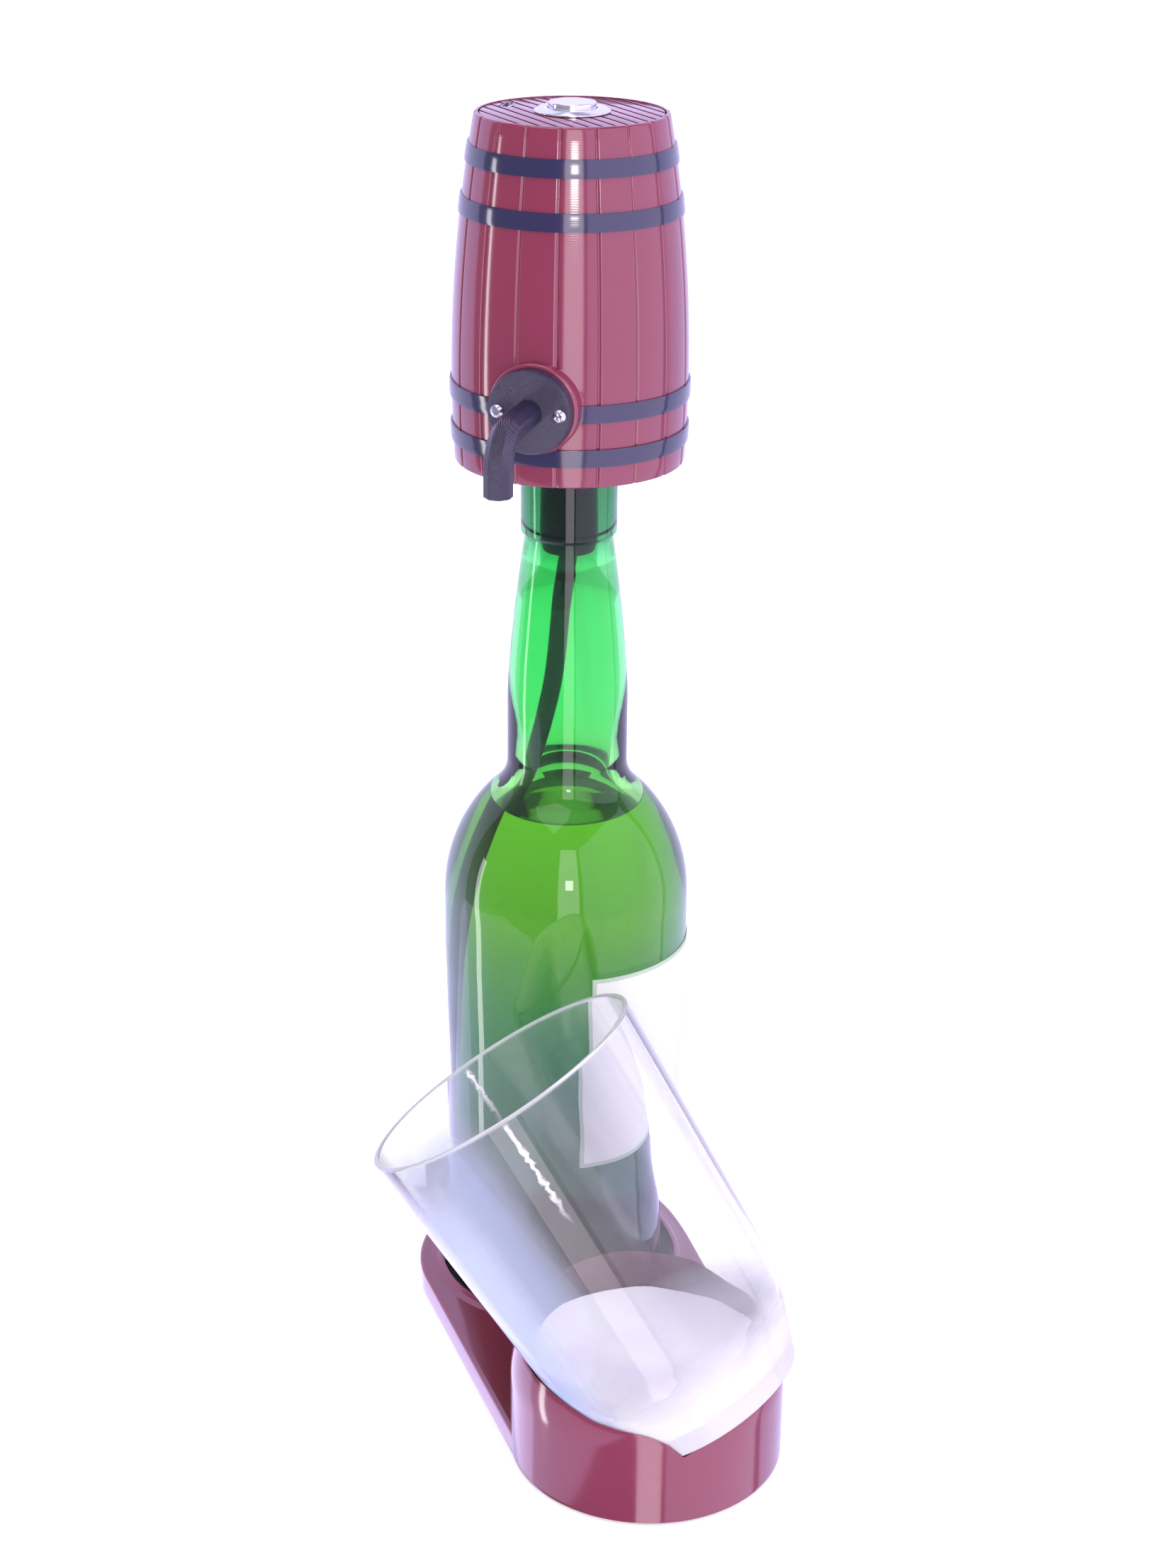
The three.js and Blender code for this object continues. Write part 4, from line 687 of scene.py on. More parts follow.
def tinted_bottle_glass():
    """Green container glass, tinted in the mass: paler through the shoulder, bluer and darker low down."""
    material, tree = new_material("green_container_glass")
    place = add_node(tree, "TexCoord").outputs["Object"]
    x, _, z = add_node(tree, "SeparateXYZ", Vector=place).outputs
    height = add_node(tree, "MapRange", Value=z, From_Max=0.3)
    ramp = add_node(tree, "ValToRGB", Fac=height)
    tints = {0: "#42787a", 0.2: "#609a90", 0.38: "#82b898", 0.5: "#9ad070", 0.62: "#90dc80"}
    tints |= {0.7: "#78e296", 0.88: "#6ade92", 0.91: "#2c8652", 1: "#196a3a"}
    stops = ramp.color_ramp.elements
    while len(stops) < len(tints):
        stops.new(0.5)
    for stop, (position, tint) in zip(stops, tints.items()):
        stop.position = position
        stop.color = linear(tint)
    ripple = add_node(tree, "TexNoise", Vector=place, Scale=45.0, Detail=2.0)
    bump = add_node(tree, "Bump", Height=ripple, Strength=0.10, Distance=0.0008)
    # Dew down the left side, partly real condensation and partly painted haze of light
    left = add_node(tree, "MapRange", smoothly, Value=x, From_Min=-0.02, From_Max=-0.044, To_Max=0.26)
    # Painted reflection: a pale patch on the right side above the label, in place of a window's reflection
    right_side = add_node(tree, "MapRange", smoothly, Value=x, From_Min=0.02, From_Max=0.046, To_Max=0.2)
    past_label = add_node(tree, "MapRange", Value=z, From_Min=0.05, From_Max=0.085)
    right_painted_reflection = add_node(tree, "Math", multiply, _0=right_side, _1=past_label)
    sides = add_node(tree, "Math", _0=left, _1=right_painted_reflection)
    lower = add_node(tree, "MapRange", Value=z, From_Min=0.145, From_Max=0.1, To_Max=0.02)
    dew_and_painted_haze = add_node(tree, "Math", _0=sides, _1=lower)
    blotch = add_node(tree, "MapRange", Value=ripple, From_Min=0.3, From_Max=0.7, To_Min=0.7, To_Max=1.2)
    body_only = add_node(tree, "MapRange", Value=z, From_Min=0.197, From_Max=0.18)
    blotchy_dew_and_haze = add_node(tree, "Math", multiply, _0=dew_and_painted_haze, _1=blotch)
    dew_and_haze_amount = add_node(tree, "Math", multiply, _0=blotchy_dew_and_haze, _1=body_only)
    clear = add_node(tree, "Math", {"operation": "SUBTRACT"}, _0=1.0, _1=dew_and_haze_amount)
    much = add_node(tree, "MapRange", Value=dew_and_haze_amount, From_Max=0.25)
    # Pale blue of the dew and the painted haze
    colour = add_node(tree, "Mix", colours, Factor=much, A=ramp, B="#a4cbd2")
    looks = {"Base_Color": colour, "Roughness": 0.0, "IOR": 1.5, "Transmission_Weight": clear}
    looks |= {"Sheen_Weight": 0.12, "Sheen_Roughness": 0.4, "Sheen_Tint": "#e6e2ff"}
    shader = add_node(tree, "BsdfPrincipled", Normal=bump, **looks)
    return surfaced(material, shader)


green_glass = tinted_bottle_glass()
band_radius, band_low, bore, bore_low = 15.15, 272.4, 9.25, 262.0
punt = [(0, 14.0), (12, 12.6, 20), (25, 6.2, 10), (28, bottle_foot, 2)]
punt += [(33.6, bottle_foot, 1.5), (37.6, 8.6, 4.0)]
band = [(bottle_neck(h), h) for h in (262.0, 268.0)]
band += [(neck_top_radius, 271.6, 0.6), (band_radius, band_low, 0.9)]
band += [(band_radius, mouth, 1.6), (bore, mouth, 1.0), (bore, bore_low, 3.0)]
punt_inside = [(30.5, 10.2, 3.0), (24, 13.2, 10), (12, 18.0, 20), (0, 19.2)]
inside = list(reversed(bottle_profile(1))) + [(34.4, 14.0, 5.0)] + punt_inside
bm = turned(rounded(punt + bottle_profile(0) + band + inside, steps=6), steps=192)
finish_piece("green_bottle", bm, [green_glass], "bottle_body", ["bottle"], sharp=60)

# Cider in the bottle
# Clear golden cider up to the foot of the neck. It isn't a solid of its own: it
# fills the bottle, creeps up the glass at its edge and goes where the bottle goes.


def lifted(profile, rise):
    """Moves a profile up."""
    return [(radius, height + rise, *rest) for radius, height, *rest in profile]


def golden_cider():
    """Still cider: clear, golden, and it bends light as water does."""
    material, tree = new_material("golden_cider")
    place = add_node(tree, "TexCoord").outputs["Object"]
    height = add_node(tree, "SeparateXYZ", Vector=place).outputs["Z"]
    upwards = add_node(tree, "MapRange", Value=height, From_Min=0.04, From_Max=0.17)
    tone = add_node(tree, "Mix", colours, Factor=upwards, A="#c2ddb6", B="#f4f294")
    looks = {"Roughness": 0.0, "IOR": 1.34, "Transmission_Weight": 1.0}
    shader = add_node(tree, "BsdfPrincipled", Base_Color=tone, **looks)
    return surfaced(material, shader)


fill, creep, overlap = 179.5, 0.6, 0.15
wet = [(r, h) for r, h in bottle_profile(1, overlap) if h < fill - 2]
reach = shoulder_arc - bottle_wall(fill) + overlap
edge = shoulder_across + math.sqrt(reach**2 - (fill + creep - shoulder_height) ** 2)
top = [(edge, fill + creep), (edge - 2.4, fill, 1.6), (0, fill)]
bottom = lifted(reversed(punt_inside), -overlap) + [(34.5, 13.9, 5.0)]
bm = turned(rounded(bottom + wet + top, steps=5), steps=160)
finish_piece("cider_in_bottle", bm, [golden_cider()], "bottle_body", sharp=60)

# Label
# Blank white paper with a pale green edge, glued round a third of the body. It
# follows the body's slight widening.


def bottle_body(height):
    """Radius of the bottle's outside at a height."""
    side = bottle_profile(0)
    for (r0, h0), (r1, h1) in zip(side, side[1:]):
        if h0 <= height <= h1:
            return r0 + (r1 - r0) * (height - h0) / (h1 - h0)
    return side[0][0]


def label_stock(name, colour, other):
    """Uncoated label paper: matt, with a faint mottle of fibres."""
    material, tree = new_material(name)
    place = add_node(tree, "TexCoord").outputs["Object"]
    fibre = add_node(tree, "TexNoise", Vector=place, Scale=1800.0, Detail=4.0)
    tone = add_node(tree, "Mix", colours, Factor=fibre, A=colour, B=other)
    bump = add_node(tree, "Bump", Height=fibre, Strength=0.08, Distance=0.00005)
    shader = add_node(tree, "BsdfPrincipled", Base_Color=tone, Roughness=0.55, Normal=bump, IOR=1.45)
    through = add_node(tree, "BsdfTranslucent", Color=tone)
    paper = add_node(tree, "MixShader", _0=0.22, _1=shader, _2=through)
    return surfaced(material, paper)


label_white = label_stock("white_label_paper", "#fbfff4", "#fffffa")
label_edge = label_stock("pale_green_label_edge", "#c9dcc8", "#d6e6d4")
label_low, label_high, label_radius = 60.2, 134.3, 39.3
label_start, label_sweep = math.radians(-90 + 13), math.radians(140)
label_gap, label_thickness, edging = 0.12, 0.22, 1.4
bm = bmesh.new()
bmesh.ops.create_grid(bm, x_segments=60, y_segments=12, size=0.5)
edge_up = edging / (label_high - label_low)
edge_across = edging / (label_radius * label_sweep)
for normal, margin in (((1, 0, 0), edge_across), ((0, 1, 0), edge_up)):
    for side in (-1, 1):
        cut_at = Vector(normal) * side * (0.5 - margin)
        whole = bm.verts[:] + bm.edges[:] + bm.faces[:]
        bmesh.ops.bisect_plane(bm, geom=whole, plane_co=cut_at, plane_no=normal)
for face in bm.faces:
    middle = face.calc_center_median()
    if abs(middle.x) > 0.5 - edge_across or abs(middle.y) > 0.5 - edge_up:
        face.material_index = 1
for vert in bm.verts:
    height = label_low + (vert.co.y + 0.5) * (label_high - label_low)
    turn = label_start + (vert.co.x + 0.5) * label_sweep
    radius = bottle_body(height) + label_gap
    vert.co = Vector((radius * math.cos(turn), radius * math.sin(turn), height))
bmesh.ops.recalc_face_normals(bm, faces=bm.faces)
outwards = sum(face.normal.dot(Vector((*face.calc_center_median()[:2], 0))) for face in bm.faces)
if outwards < 0:
    bmesh.ops.reverse_faces(bm, faces=bm.faces)
bmesh.ops.solidify(bm, geom=bm.faces[:], thickness=-label_thickness)
papers = [label_white, label_edge]
finish_piece("blank_label", bm, papers, "bottle_body", ["bottle_label"], sharp=60)

# Stopper, its seal rings and the suction tube
# A black rubber plug seals the mouth. Two O-rings sit in its grooves, and a black
# PVC tube goes down from it through the neck to the bottom of the cider.


def round_section(radius, sides):
    """A circle, as points."""
    turns = [2 * math.pi * k / sides for k in range(sides)]
    return [(radius * math.cos(turn), radius * math.sin(turn)) for turn in turns]


plug_radius, groove_radius, groove_half, groove_drops = 8.9, 7.9, 0.8, (8, 20)
flange_radius, flange_low, flange_high = 14.4, 3.6, 5.6
spigot, spigot_bore = 2.1, 1.2
plug = [(spigot, 12.6, 0.3), (spigot, flange_high), (flange_radius, flange_high, 0.5)]
plug += [(flange_radius, flange_low, 0.4), (11.2, flange_low, 0.3)]
plug += [(11.2, 0.15, 0.4), (plug_radius, 0.1, 0.3)]
for drop in groove_drops:
    plug += [(plug_radius, groove_half - drop), (groove_radius, groove_half - drop)]
    plug += [(groove_radius, -groove_half - drop), (plug_radius, -groove_half - drop)]
plug += [(8.4, -30, 1.6), (3.2, -30, 0.3), (3.2, -14.8), (spigot_bore, -14.8), (spigot_bore, 12.6, 0.2)]
bm = turned(rounded(lifted(plug, mouth), steps=4, closed=True), steps=96, closed=True)
finish_piece("rubber_plug", bm, [black_rubber], "stopper_body", ["stopper"])
ring_middle, ring_round = 8.62, 0.6
for i, drop in enumerate(groove_drops, start=1):
    section = [(ring_middle + across, mouth - drop + up) for across, up in round_section(ring_round, 18)]
    bm = turned(section, steps=96, closed=True)
    finish_piece(f"seal_ring_{i}", bm, [black_rubber], "stopper_body", [f"stopper_ring_{i}"])


def smooth_route(points, per_part):
    """A smooth curve through points on a plane."""
    ends = [points[0]] + list(points) + [points[-1]]
    route = []
    for a, b, c, d in zip(ends, ends[1:], ends[2:], ends[3:]):
        a, b, c, d = Vector(a), Vector(b), Vector(c), Vector(d)
        for k in range(per_part):
            t = k / per_part
            square, cube = a * 2 - b * 5 + c * 4 - d, b * 3 - a - c * 3 + d
            route.append((b * 2 + (c - a) * t + square * t * t + cube * t**3) / 2)
    return route + [Vector(points[-1])]


def swept(route, outer, bore, place):
    """Sweeps a hollow section along a flat route, with a small round at both ends."""
    round_end = 0.25
    after_start = route[0] + (route[1] - route[0]).normalized() * round_end
    before_end = route[-1] + (route[-2] - route[-1]).normalized() * round_end
    route = [route[0], after_start] + route[1:-1] + [before_end, route[-1]]
    last = len(route) - 1
    stations = [(0, outer, 0.92)] + [(k, outer, 1) for k in range(1, last)] + [(last, outer, 0.92)]
    stations += [(last, bore, 1.08)] + [(k, bore, 1) for k in range(last - 1, 0, -1)] + [(0, bore, 1.08)]

    def ring(k, section, scale):
        ahead = (route[min(k + 1, last)] - route[max(k - 1, 0)]).normalized()
        side = Vector((-ahead.y, ahead.x))
        return lambda i: place(route[k] + side * section[i][0] * scale, section[i][1] * scale)

    return ringed(len(outer), [ring(*station) for station in stations], closed=True)[0]


def mottled_stock(name, colour, other, gloss, scale, relief=None, metallic=0.0, specular=0.5):
    """A moulded, extruded or plated stock, with a faint mottle in its tone, gloss and relief."""
    material, tree = new_material(name)
    place = add_node(tree, "TexCoord").outputs["Object"]
    mottle = add_node(tree, "TexNoise", Vector=place, Scale=scale, Detail=3.0)
    tone = add_node(tree, "Mix", colours, Factor=mottle, A=colour, B=other)
    roughness = add_node(tree, "MapRange", Value=mottle, To_Min=gloss[0], To_Max=gloss[1])
    looks = {"Base_Color": tone, "Roughness": roughness, "Metallic": metallic}
    looks["Specular_IOR_Level"] = specular
    if relief:
        looks["Normal"] = add_node(tree, "Bump", Height=mottle, Strength=relief[0], Distance=relief[1])
    return surfaced(material, add_node(tree, "BsdfPrincipled", **looks))


# Black PVC, extruded: smooth and half matt
black_pvc = mottled_stock("black_pvc_tube", "#0d0d10", "#17171c", (0.3, 0.5), 300.0, specular=0.25)
tube_radius, tube_bore = 3.0, 2.0
tube_route = [(0, 281), (0, 266), (-1.9, 252), (-4.2, 226), (-7.7, 208), (-12, 194), (-16.2, 183)]
tube_route += [(-20, 171), (-23.6, 157), (-26.6, 139), (-28.8, 115), (-30, 85), (-30.2, 50), (-29.4, 18)]
outer, hole = round_section(tube_radius, 24), round_section(tube_bore, 24)
bm = swept(smooth_route(tube_route, 5), outer, hole, lambda at, out: Vector((at.x, out, at.y)))
tube = ["suction_tube"]
finish_piece("black_suction_tube", bm, [black_pvc], "stopper_body", tube, sharp=50)

# Barrel shell
# The head is a small barrel, printed standing in burgundy silk PLA. Eighteen staves
# with sunk seams go round it, and a boss for the spout grows out of its front.

barrel_low, barrel_high = 296.3, 105.4  # level of its underside, and its height from there
belly_radius, belly_height, rim_radius, barrel_wall = 36.4, 26, 29.2, 2.4
narrowing = belly_radius - rim_radius
stave_round = ((barrel_high - belly_height) ** 2 + narrowing**2) / (2 * narrowing)
stave_count, first_seam = 18, -6
# Points across one stave, in degrees from its seam, and how deep the seam is there
seam_turns = [0, 0.45, 0.8, 1.15, 1.8, 5.8, 10, 14.2, 18.2, 18.85, 19.2, 19.55]
seam_drops = [0.5, 0.42, 0.14, 0.02, 0, 0, 0, 0, 0, 0.02, 0.14, 0.42]
spout_height, spout_turn = 24.6, math.radians(-16)
spout_place = Matrix.Translation((0, 0, barrel_low + spout_height)) @ Matrix.Rotation(spout_turn, 4, "Z")


def barrel_radius(height):
    """Radius of the staves' outside at a height."""
    return belly_radius - stave_round + math.sqrt(stave_round**2 - (height - belly_height) ** 2)


def stave_ring(inset, height, depth):
    """A ring of the barrel's wall, let in at the seams by a share of their depth."""

    def place(i):
        stave, within = divmod(i, len(seam_turns))
        turn = math.radians(first_seam + 360 / stave_count * stave + seam_turns[within])
        radius = barrel_radius(min(max(height, 0), barrel_high)) - inset - seam_drops[within] * depth
        return Vector((radius * math.sin(turn), -radius * math.cos(turn), barrel_low + height))

    return place


def carve(bm, tool, operation="DIFFERENCE"):
    """Cuts a tool's shape out of a shape, or joins it on."""
    both = []
    for source in (bm, tool):
        mesh = bpy.data.meshes.new("carving")
        source.to_mesh(mesh)
        source.free()
        both.append(bpy.data.objects.new("carving", mesh))
        bpy.context.scene.collection.objects.link(both[-1])
    cutter = both[0].modifiers.new("cut", "BOOLEAN")
    cutter.operation, cutter.object, cutter.solver = operation, both[1], "EXACT"
    carved = bmesh.new()
    carved.from_object(both[0], bpy.context.evaluated_depsgraph_get())
    for made in both:
        mesh = made.data
        bpy.data.objects.remove(made)
        bpy.data.meshes.remove(mesh)
    return carved


def on_spout(bm):
    """Turns a shape made about Z so that it points along the spout's way out."""
    bmesh.ops.rotate(bm, matrix=Matrix.Rotation(math.pi / 2, 3, "X"), verts=bm.verts)
    bmesh.ops.transform(bm, matrix=spout_place, verts=bm.verts)
    return bm


# Rings of the wall, as (inset, height, share of the seams' depth): up the outside, over
# the rim, down past the ledge under the top plate, and down the inside
stave_rings = 26
rings = [(0.5, 0, 1), (0.12, 0.12, 1), (0, 0.5, 1)]
rings += [(0, barrel_high * k / stave_rings, 1) for k in range(1, stave_rings)]
rings += [(inset, barrel_high - drop, 1) for inset, drop in ((0, 0.6), (0.18, 0.18), (0.6, 0))]
rings += [(1.2, barrel_high, 0), (1.3, barrel_high - 0.15, 0)]
pocket_radius, ledge_radius, ledge_top, ledge_low = 27.9, 26.4, 98.9, 96.9
pocket = [(pocket_radius, ledge_top), (ledge_radius, ledge_top), (ledge_radius, ledge_low)]
rings += [(rim_radius - radius, height, 0) for radius, height in pocket]
rings += [(barrel_wall, height, 0) for height in (94.9, 70, 48, 24, 0.1)] + [(barrel_wall - 0.1, 0, 0)]
bm = ringed(stave_count * len(seam_turns), [stave_ring(*ring) for ring in rings], closed=True)[0]
boss_radius, boss_back, boss_face = 13.8, 33.5, 39.0
boss = [(0, boss_back), (boss_radius, boss_back), (boss_radius, boss_face, 0.9), (0, boss_face)]
bm = carve(bm, on_spout(turned(rounded(boss, steps=5), steps=96)), "UNION")
finish_piece("staved_barrel", bm, [burgundy_silk], "head", ["barrel_shell"], sharp=48)

# Hoops
# Four flat hoops of dark slate-blue silk PLA, printed by themselves and pushed over
# the staves: two near the top and two near the bottom.

slate_silk = printed_silk("slate_blue_silk_pla", "#201e42", "#2a274e", 0.5)
hoop_width, hoop_thickness, hoop_gap = 5.3, 0.7, 0.02
for i, middle in enumerate((barrel_high - 11.4, barrel_high - 26.5, 22.9, 9.3), start=1):
    outside, inside = [], []
    for k in range(7):
        height = middle + hoop_width * (k / 6 - 0.5)
        edge = 0.12 if k in (0, 6) else 0
        outside.append((barrel_radius(height) + hoop_thickness - edge, barrel_low + height))
        inside.append((barrel_radius(height) + hoop_gap, barrel_low + height))
    bm = turned(outside + list(reversed(inside)), steps=216, closed=True)
    finish_piece(f"hoop_band_{i}", bm, [slate_silk], "head", [f"hoop_{i}"], sharp=50)

# Top plate
# A burgundy disc with narrow planks on it, let into the barrel's rim. The button and
# the charging socket go through it.

plate_top = barrel_low + barrel_high - 0.2
plate_radius, button_hole = 27.6, 9.6
plank_pitch, plank_gap, plank_turn = 4, 0.9, math.radians(-62)
socket_length, socket_width, socket_gap = 9.0, 3.2, 0.3
socket_out, socket_bearing, socket_turn = 22.6, math.radians(149.5), math.radians(78)
socket_spot = (socket_out * math.cos(socket_bearing), socket_out * math.sin(socket_bearing), plate_top)
socket_place = Matrix.Translation(socket_spot) @ Matrix.Rotation(socket_turn, 4, "Z")


def slot_outline(length, width, steps=10):
    """A slot with round ends, as points."""
    half, radius = (length - width) / 2, width / 2
    points = []
    for middle, first in ((half, -math.pi / 2), (-half, math.pi / 2)):
        turns = [first + math.pi * k / steps for k in range(steps + 1)]
        points += [(middle + radius * math.cos(turn), radius * math.sin(turn)) for turn in turns]
    return points


def raised(outline, low, high, round_top=0.0):
    """Raises an outline into a plate, with a round along its upper edge."""
    bm = bmesh.new()
    face = bm.faces.new([bm.verts.new((x, y, low)) for x, y in outline])
    made = bmesh.ops.extrude_face_region(bm, geom=[face])["geom"]
    upper = [item for item in made if isinstance(item, bmesh.types.BMVert)]
    bmesh.ops.translate(bm, vec=(0, 0, high - low), verts=upper)
    bmesh.ops.recalc_face_normals(bm, faces=bm.faces)
    if round_top:
        crest = [e for e in bm.edges if all(abs(v.co.z - high) < 0.001 for v in e.verts)]
        round_over(bm, crest, round_top)
    return bm


disc = raised(round_section(plate_radius, 180), plate_top - 3, plate_top - 0.5)
planks = bmesh.new()
widest = plate_radius - 0.05
for k in range(-7, 7):
    low = max(k * plank_pitch + plank_gap / 2, -widest)
    high = min((k + 1) * plank_pitch - plank_gap / 2, widest)
    first, last = math.asin(low / plate_radius), math.asin(high / plate_radius)
    turns = [first + (last - first) * step / 8 for step in range(9)]
    side = [(plate_radius * math.cos(turn), plate_radius * math.sin(turn)) for turn in turns]
    plank = raised(side + [(-x, y) for x, y in reversed(side)], plate_top - 0.6, plate_top, 0.14)
    mesh = bpy.data.meshes.new("plank")
    plank.to_mesh(mesh)
    plank.free()
    planks.from_mesh(mesh)
    bpy.data.meshes.remove(mesh)
bmesh.ops.rotate(planks, matrix=Matrix.Rotation(plank_turn, 3, "Z"), verts=planks.verts)
bm = carve(disc, planks, "UNION")
bm = carve(bm, raised(round_section(button_hole, 90), plate_top - 4, plate_top + 1))
slot_hole = raised(slot_outline(socket_length + 2 * socket_gap, socket_width + 2 * socket_gap), -5, 1)
bmesh.ops.transform(slot_hole, matrix=socket_place, verts=slot_hole.verts)
bm = carve(bm, slot_hole)
finish_piece("planked_top", bm, [burgundy_silk], "head", ["top_plate"], sharp=35)

# Push button
# A chromed metal button with a flat sprung cap, screwed through the top plate. Its
# bezel slopes up to the cap, and a coil of steel wire under the cap pushes it back.

# Brass under satin chrome and zinc-plated steel: bright, with faint turning marks
turning_marks = (0.05, 0.00005)
chrome = mottled_stock("satin_chromed_brass", "#dfe1e6", "#f0f1f4", (0.11, 0.21), 700.0, turning_marks, 0.9)
steel = mottled_stock("zinc_plated_steel", "#c3c6cd", "#f0f1f4", (0.17, 0.31), 700.0, turning_marks, 1.0)

# Profiles as (radius, height over the plate, fillet)
housing = [(0, -13.5), (9.3, -13.5, 0.4), (9.3, 0.12), (11.5, 0.12, 0.1), (11.5, 0.62, 0.35)]
housing += [(9.9, 1.5, 0.5), (7.5, 1.5, 0.25), (7.5, -0.5), (8.3, -0.5), (8.3, -12.0), (0, -12.0)]
bm = turned(rounded(lifted(housing, plate_top), steps=5), steps=144)
finish_piece("button_bezel", bm, [chrome], "head", ["button_housing"])
cap = [(0, -6.6), (2.4, -6.6, 0.3), (2.4, -2.9), (8.0, -2.9, 0.2), (8.0, -0.9, 0.2), (7.2, -0.8)]
cap += [(7.2, 3.1, 0.45), (6.3, 3.1, 0.4), (5.9, 2.95, 0.6), (0, 2.9)]
bm = turned(rounded(lifted(cap, plate_top), steps=5), steps=144)
finish_piece("button_dome", bm, [chrome], "button", ["button_cap"])

spring_low, spring_high, spring_turns, coil_radius, wire = 393.1, 398.04, 3, 4.2, 0.4
steps = spring_turns * 40
bm = bmesh.new()
wire_end = Matrix.Translation((coil_radius, 0, spring_low)) @ Matrix.Rotation(math.pi / 2, 4, "X")
ring = bmesh.ops.create_circle(bm, segments=12, radius=wire, matrix=wire_end)["verts"]
rise = (0, 0, (spring_high - spring_low) / steps)
coil = 2 * math.pi * spring_turns
bmesh.ops.spin(bm, geom=ring + bm.edges[:], axis=(0, 0, 1), dvec=rise, angle=coil, steps=steps)
bmesh.ops.edgeloop_fill(bm, edges=[edge for edge in bm.edges if edge.is_boundary])
bmesh.ops.recalc_face_normals(bm, faces=bm.faces)
spring = finish_piece("coiled_spring", bm, [steel], "head", ["button_spring"], sharp=60)
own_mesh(spring)

# Charging socket
# A drawn steel shell in the plate's edge, with the usual flat tongue of pale plastic
# in its middle.


def block(length, width):
    """A rectangle, as points."""
    x, y = length / 2, width / 2
    return [(-x, -y), (x, -y), (x, y), (-x, y)]


socket_wall, socket_depth = 0.4, 7.4
hollow = slot_outline(socket_length - 2 * socket_wall, socket_width - 2 * socket_wall, 14)
bm = raised(slot_outline(socket_length, socket_width, 14), -socket_depth, 0.0, 0.12)
bm = carve(bm, raised(hollow, socket_wall - socket_depth, 1.0))
bmesh.ops.transform(bm, matrix=socket_place, verts=bm.verts)
finish_piece("socket_shell", bm, [steel], "head", ["charging_socket"], sharp=40)

# Nylon from a mould, with the mould's fine grain
moulded = (0.12, 0.0001)
pale_nylon = mottled_stock("pale_moulded_nylon", "#dfe0dc", "#ebebe7", (0.4, 0.52), 600.0, moulded)
bm = raised(block(6.6, 0.7), -7.1, -0.8, 0.15)
bmesh.ops.transform(bm, matrix=socket_place, verts=bm.verts)
finish_piece("socket_tongue", bm, [pale_nylon], "head", sharp=40)

# Spout
# A flange and an eight-sided elbow, printed in black PLA. The flange's face shows its
# raster lines, and two cross-head screws hold it on the barrel's boss.


def printed_black(line_mm=0.5):
    """Black silk PLA with slanting raster lines, drawn 0.5 mm apart so that they show."""
    material, tree = new_material("black_silk_pla")
    place = add_node(tree, "TexCoord").outputs["Object"]
    level = add_node(tree, "Mapping", Vector=place, Rotation=(0, 0, -spout_turn))
    slant = add_node(tree, "Mapping", Vector=level, Rotation=(0, math.radians(45), 0))
    uneven = {"Distortion": 1.5, "Detail": 2.0, "Detail_Scale": 4.0}
    lines = add_node(tree, "TexWave", Vector=slant, Scale=wave_unit / (line_mm * mm), **uneven)
    blot = add_node(tree, "TexNoise", Vector=place, Scale=260.0, Detail=4.0)
    relief = add_node(tree, "Math", multiply_add, _0=blot, _1=0.8, _2=lines.outputs["Fac"])
    bump = add_node(tree, "Bump", Height=relief, Strength=0.9, Distance=0.00018)
    tone = add_node(tree, "Mix", colours, Factor=blot, A="#1b1730", B="#2c2745")
    gloss = add_node(tree, "MapRange", Value=blot, To_Min=0.1, To_Max=0.35)
    looks = {"IOR": 1.5, "Specular_IOR_Level": 0.9}
    shader = add_node(tree, "BsdfPrincipled", Base_Color=tone, Roughness=gloss, Normal=bump, **looks)
    return surfaced(material, shader)


black_silk = printed_black()
flange_radius, flange_back, flange_face = 12.8, boss_face + 0.03, 43.3
disc = [(0, flange_back), (flange_radius, flange_back, 0.2)]
disc += [(flange_radius, flange_face, 0.9), (0, flange_face)]
bm = on_spout(turned(rounded(disc, steps=5), steps=96))
finish_piece("spout_disc", bm, [black_silk], "head", ["spout_flange"], sharp=45)

elbow_half_width, elbow_bore, elbow_out, elbow_bend = 4.0, 2.5, 62, 10
corner = elbow_half_width / math.cos(math.pi / 8)
octagon = []
for k in range(8):
    for shift, trim in ((-0.075, 0.9925), (0, 0.985), (0.075, 0.9925)):
        turn = (k + 0.5) * math.pi / 4 + shift
        octagon.append((corner * trim * math.cos(turn), corner * trim * math.sin(turn)))
elbow_route = [Vector((-out, 0)) for out in (26, 35, 44, 53, elbow_out)]
for bend in [math.pi / 2 * k / 12 for k in range(1, 13)]:
    out, up = elbow_out + elbow_bend * math.sin(bend), elbow_bend * (math.cos(bend) - 1)
    elbow_route.append(Vector((-out, up)))
elbow_route += [Vector((-elbow_out - elbow_bend, height)) for height in (-13.6, -17.2)]
hole = round_section(elbow_bore, 24)
bm = swept(elbow_route, octagon, hole, lambda at, out: spout_place @ Vector((out, at.x, at.y)))
finish_piece("spout_bend", bm, [black_silk], "head", ["spout_elbow"], sharp=19)

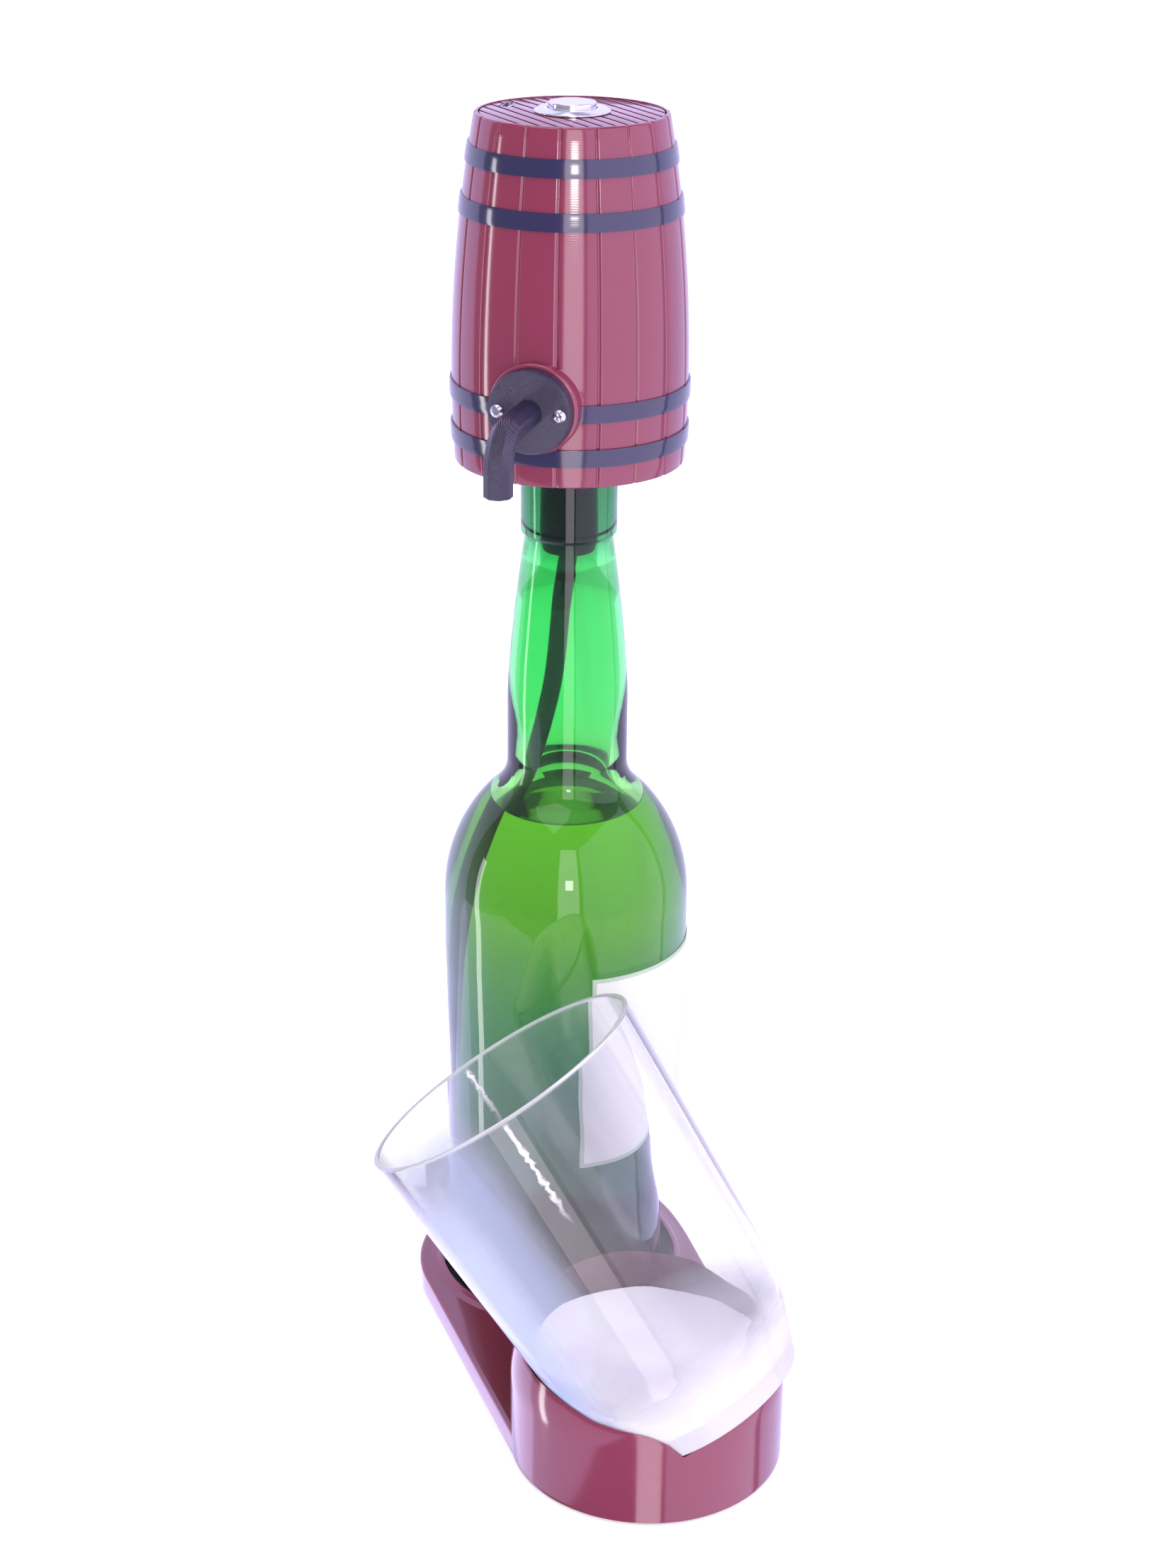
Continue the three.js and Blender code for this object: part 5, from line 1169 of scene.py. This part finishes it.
screw_spread, screw_radius, screw_head = 9.6, 1.2, 2.05
head_low = flange_face + 0.03
screw_side = [(0, 32.5), (screw_radius, 33.5), (screw_radius, head_low), (screw_head, head_low, 0.1)]
screw_side += [(screw_head, 43.8, 0.5), (1.2, 44.5, 0.8), (0, 44.6)]
for i, side in enumerate((-1, 1), start=1):
    screw = turned(rounded(screw_side, steps=5), steps=48)
    for turn in (0.35, 0.35 + math.pi / 2):
        groove = raised(block(2.3, 0.48), 43.95, 45.0)
        bmesh.ops.rotate(groove, matrix=Matrix.Rotation(turn, 3, "Z"), verts=groove.verts)
        screw = carve(screw, groove)
    bmesh.ops.translate(screw, vec=(side * screw_spread, 0, 0), verts=screw.verts)
    screw = on_spout(screw)
    finish_piece(f"flange_cross_screw_{i}", screw, [steel], "head", [f"flange_screw_{i}"], sharp=40)

# Pieces inside the barrel and under the base
# They keep their plain shapes, and take the materials they are made of: nickel-plated
# steel, grey ABS, a green circuit board, wrapped cells and clear silicone hose.

grey_abs = mottled_stock("grey_abs", "#83878d", "#92969c", (0.4, 0.52), 500.0, moulded)
board_green = mottled_stock("green_circuit_board", "#175c31", "#23733f", (0.35, 0.47), 900.0, moulded)
cell_wrap = mottled_stock("blue_cell_wrap", "#3566a8", "#4474b8", (0.3, 0.42), 300.0, moulded)
clear_silicone = mottled_stock("milky_silicone", "#dcdad2", "#ebe9e2", (0.35, 0.47), 200.0, moulded)
hidden_screws = [f"{joined}_screw_{i}" for joined in ("cradle", "cover") for i in (1, 2, 3)]
hidden_screws += ["frame_screw_1", "frame_screw_2"]
inside_looks = {
    steel: hidden_screws + ["button_nut", "pump_motor", "motor_shaft", "driven_pin"],
    grey_abs: ["pump_housing", "pump_cover", "drive_gear", "driven_gear", "inner_frame"],
    black_silk: ["switch_insert", "battery_holder"],
    board_green: ["charging_board"],
    cell_wrap: ["battery_cell_1", "battery_cell_2"],
    clear_silicone: ["inlet_hose", "outlet_hose"],
    burgundy_silk: ["bottom_cover"],
}
for material, nodes in inside_looks.items():
    for node in nodes:
        put_on(node, material)
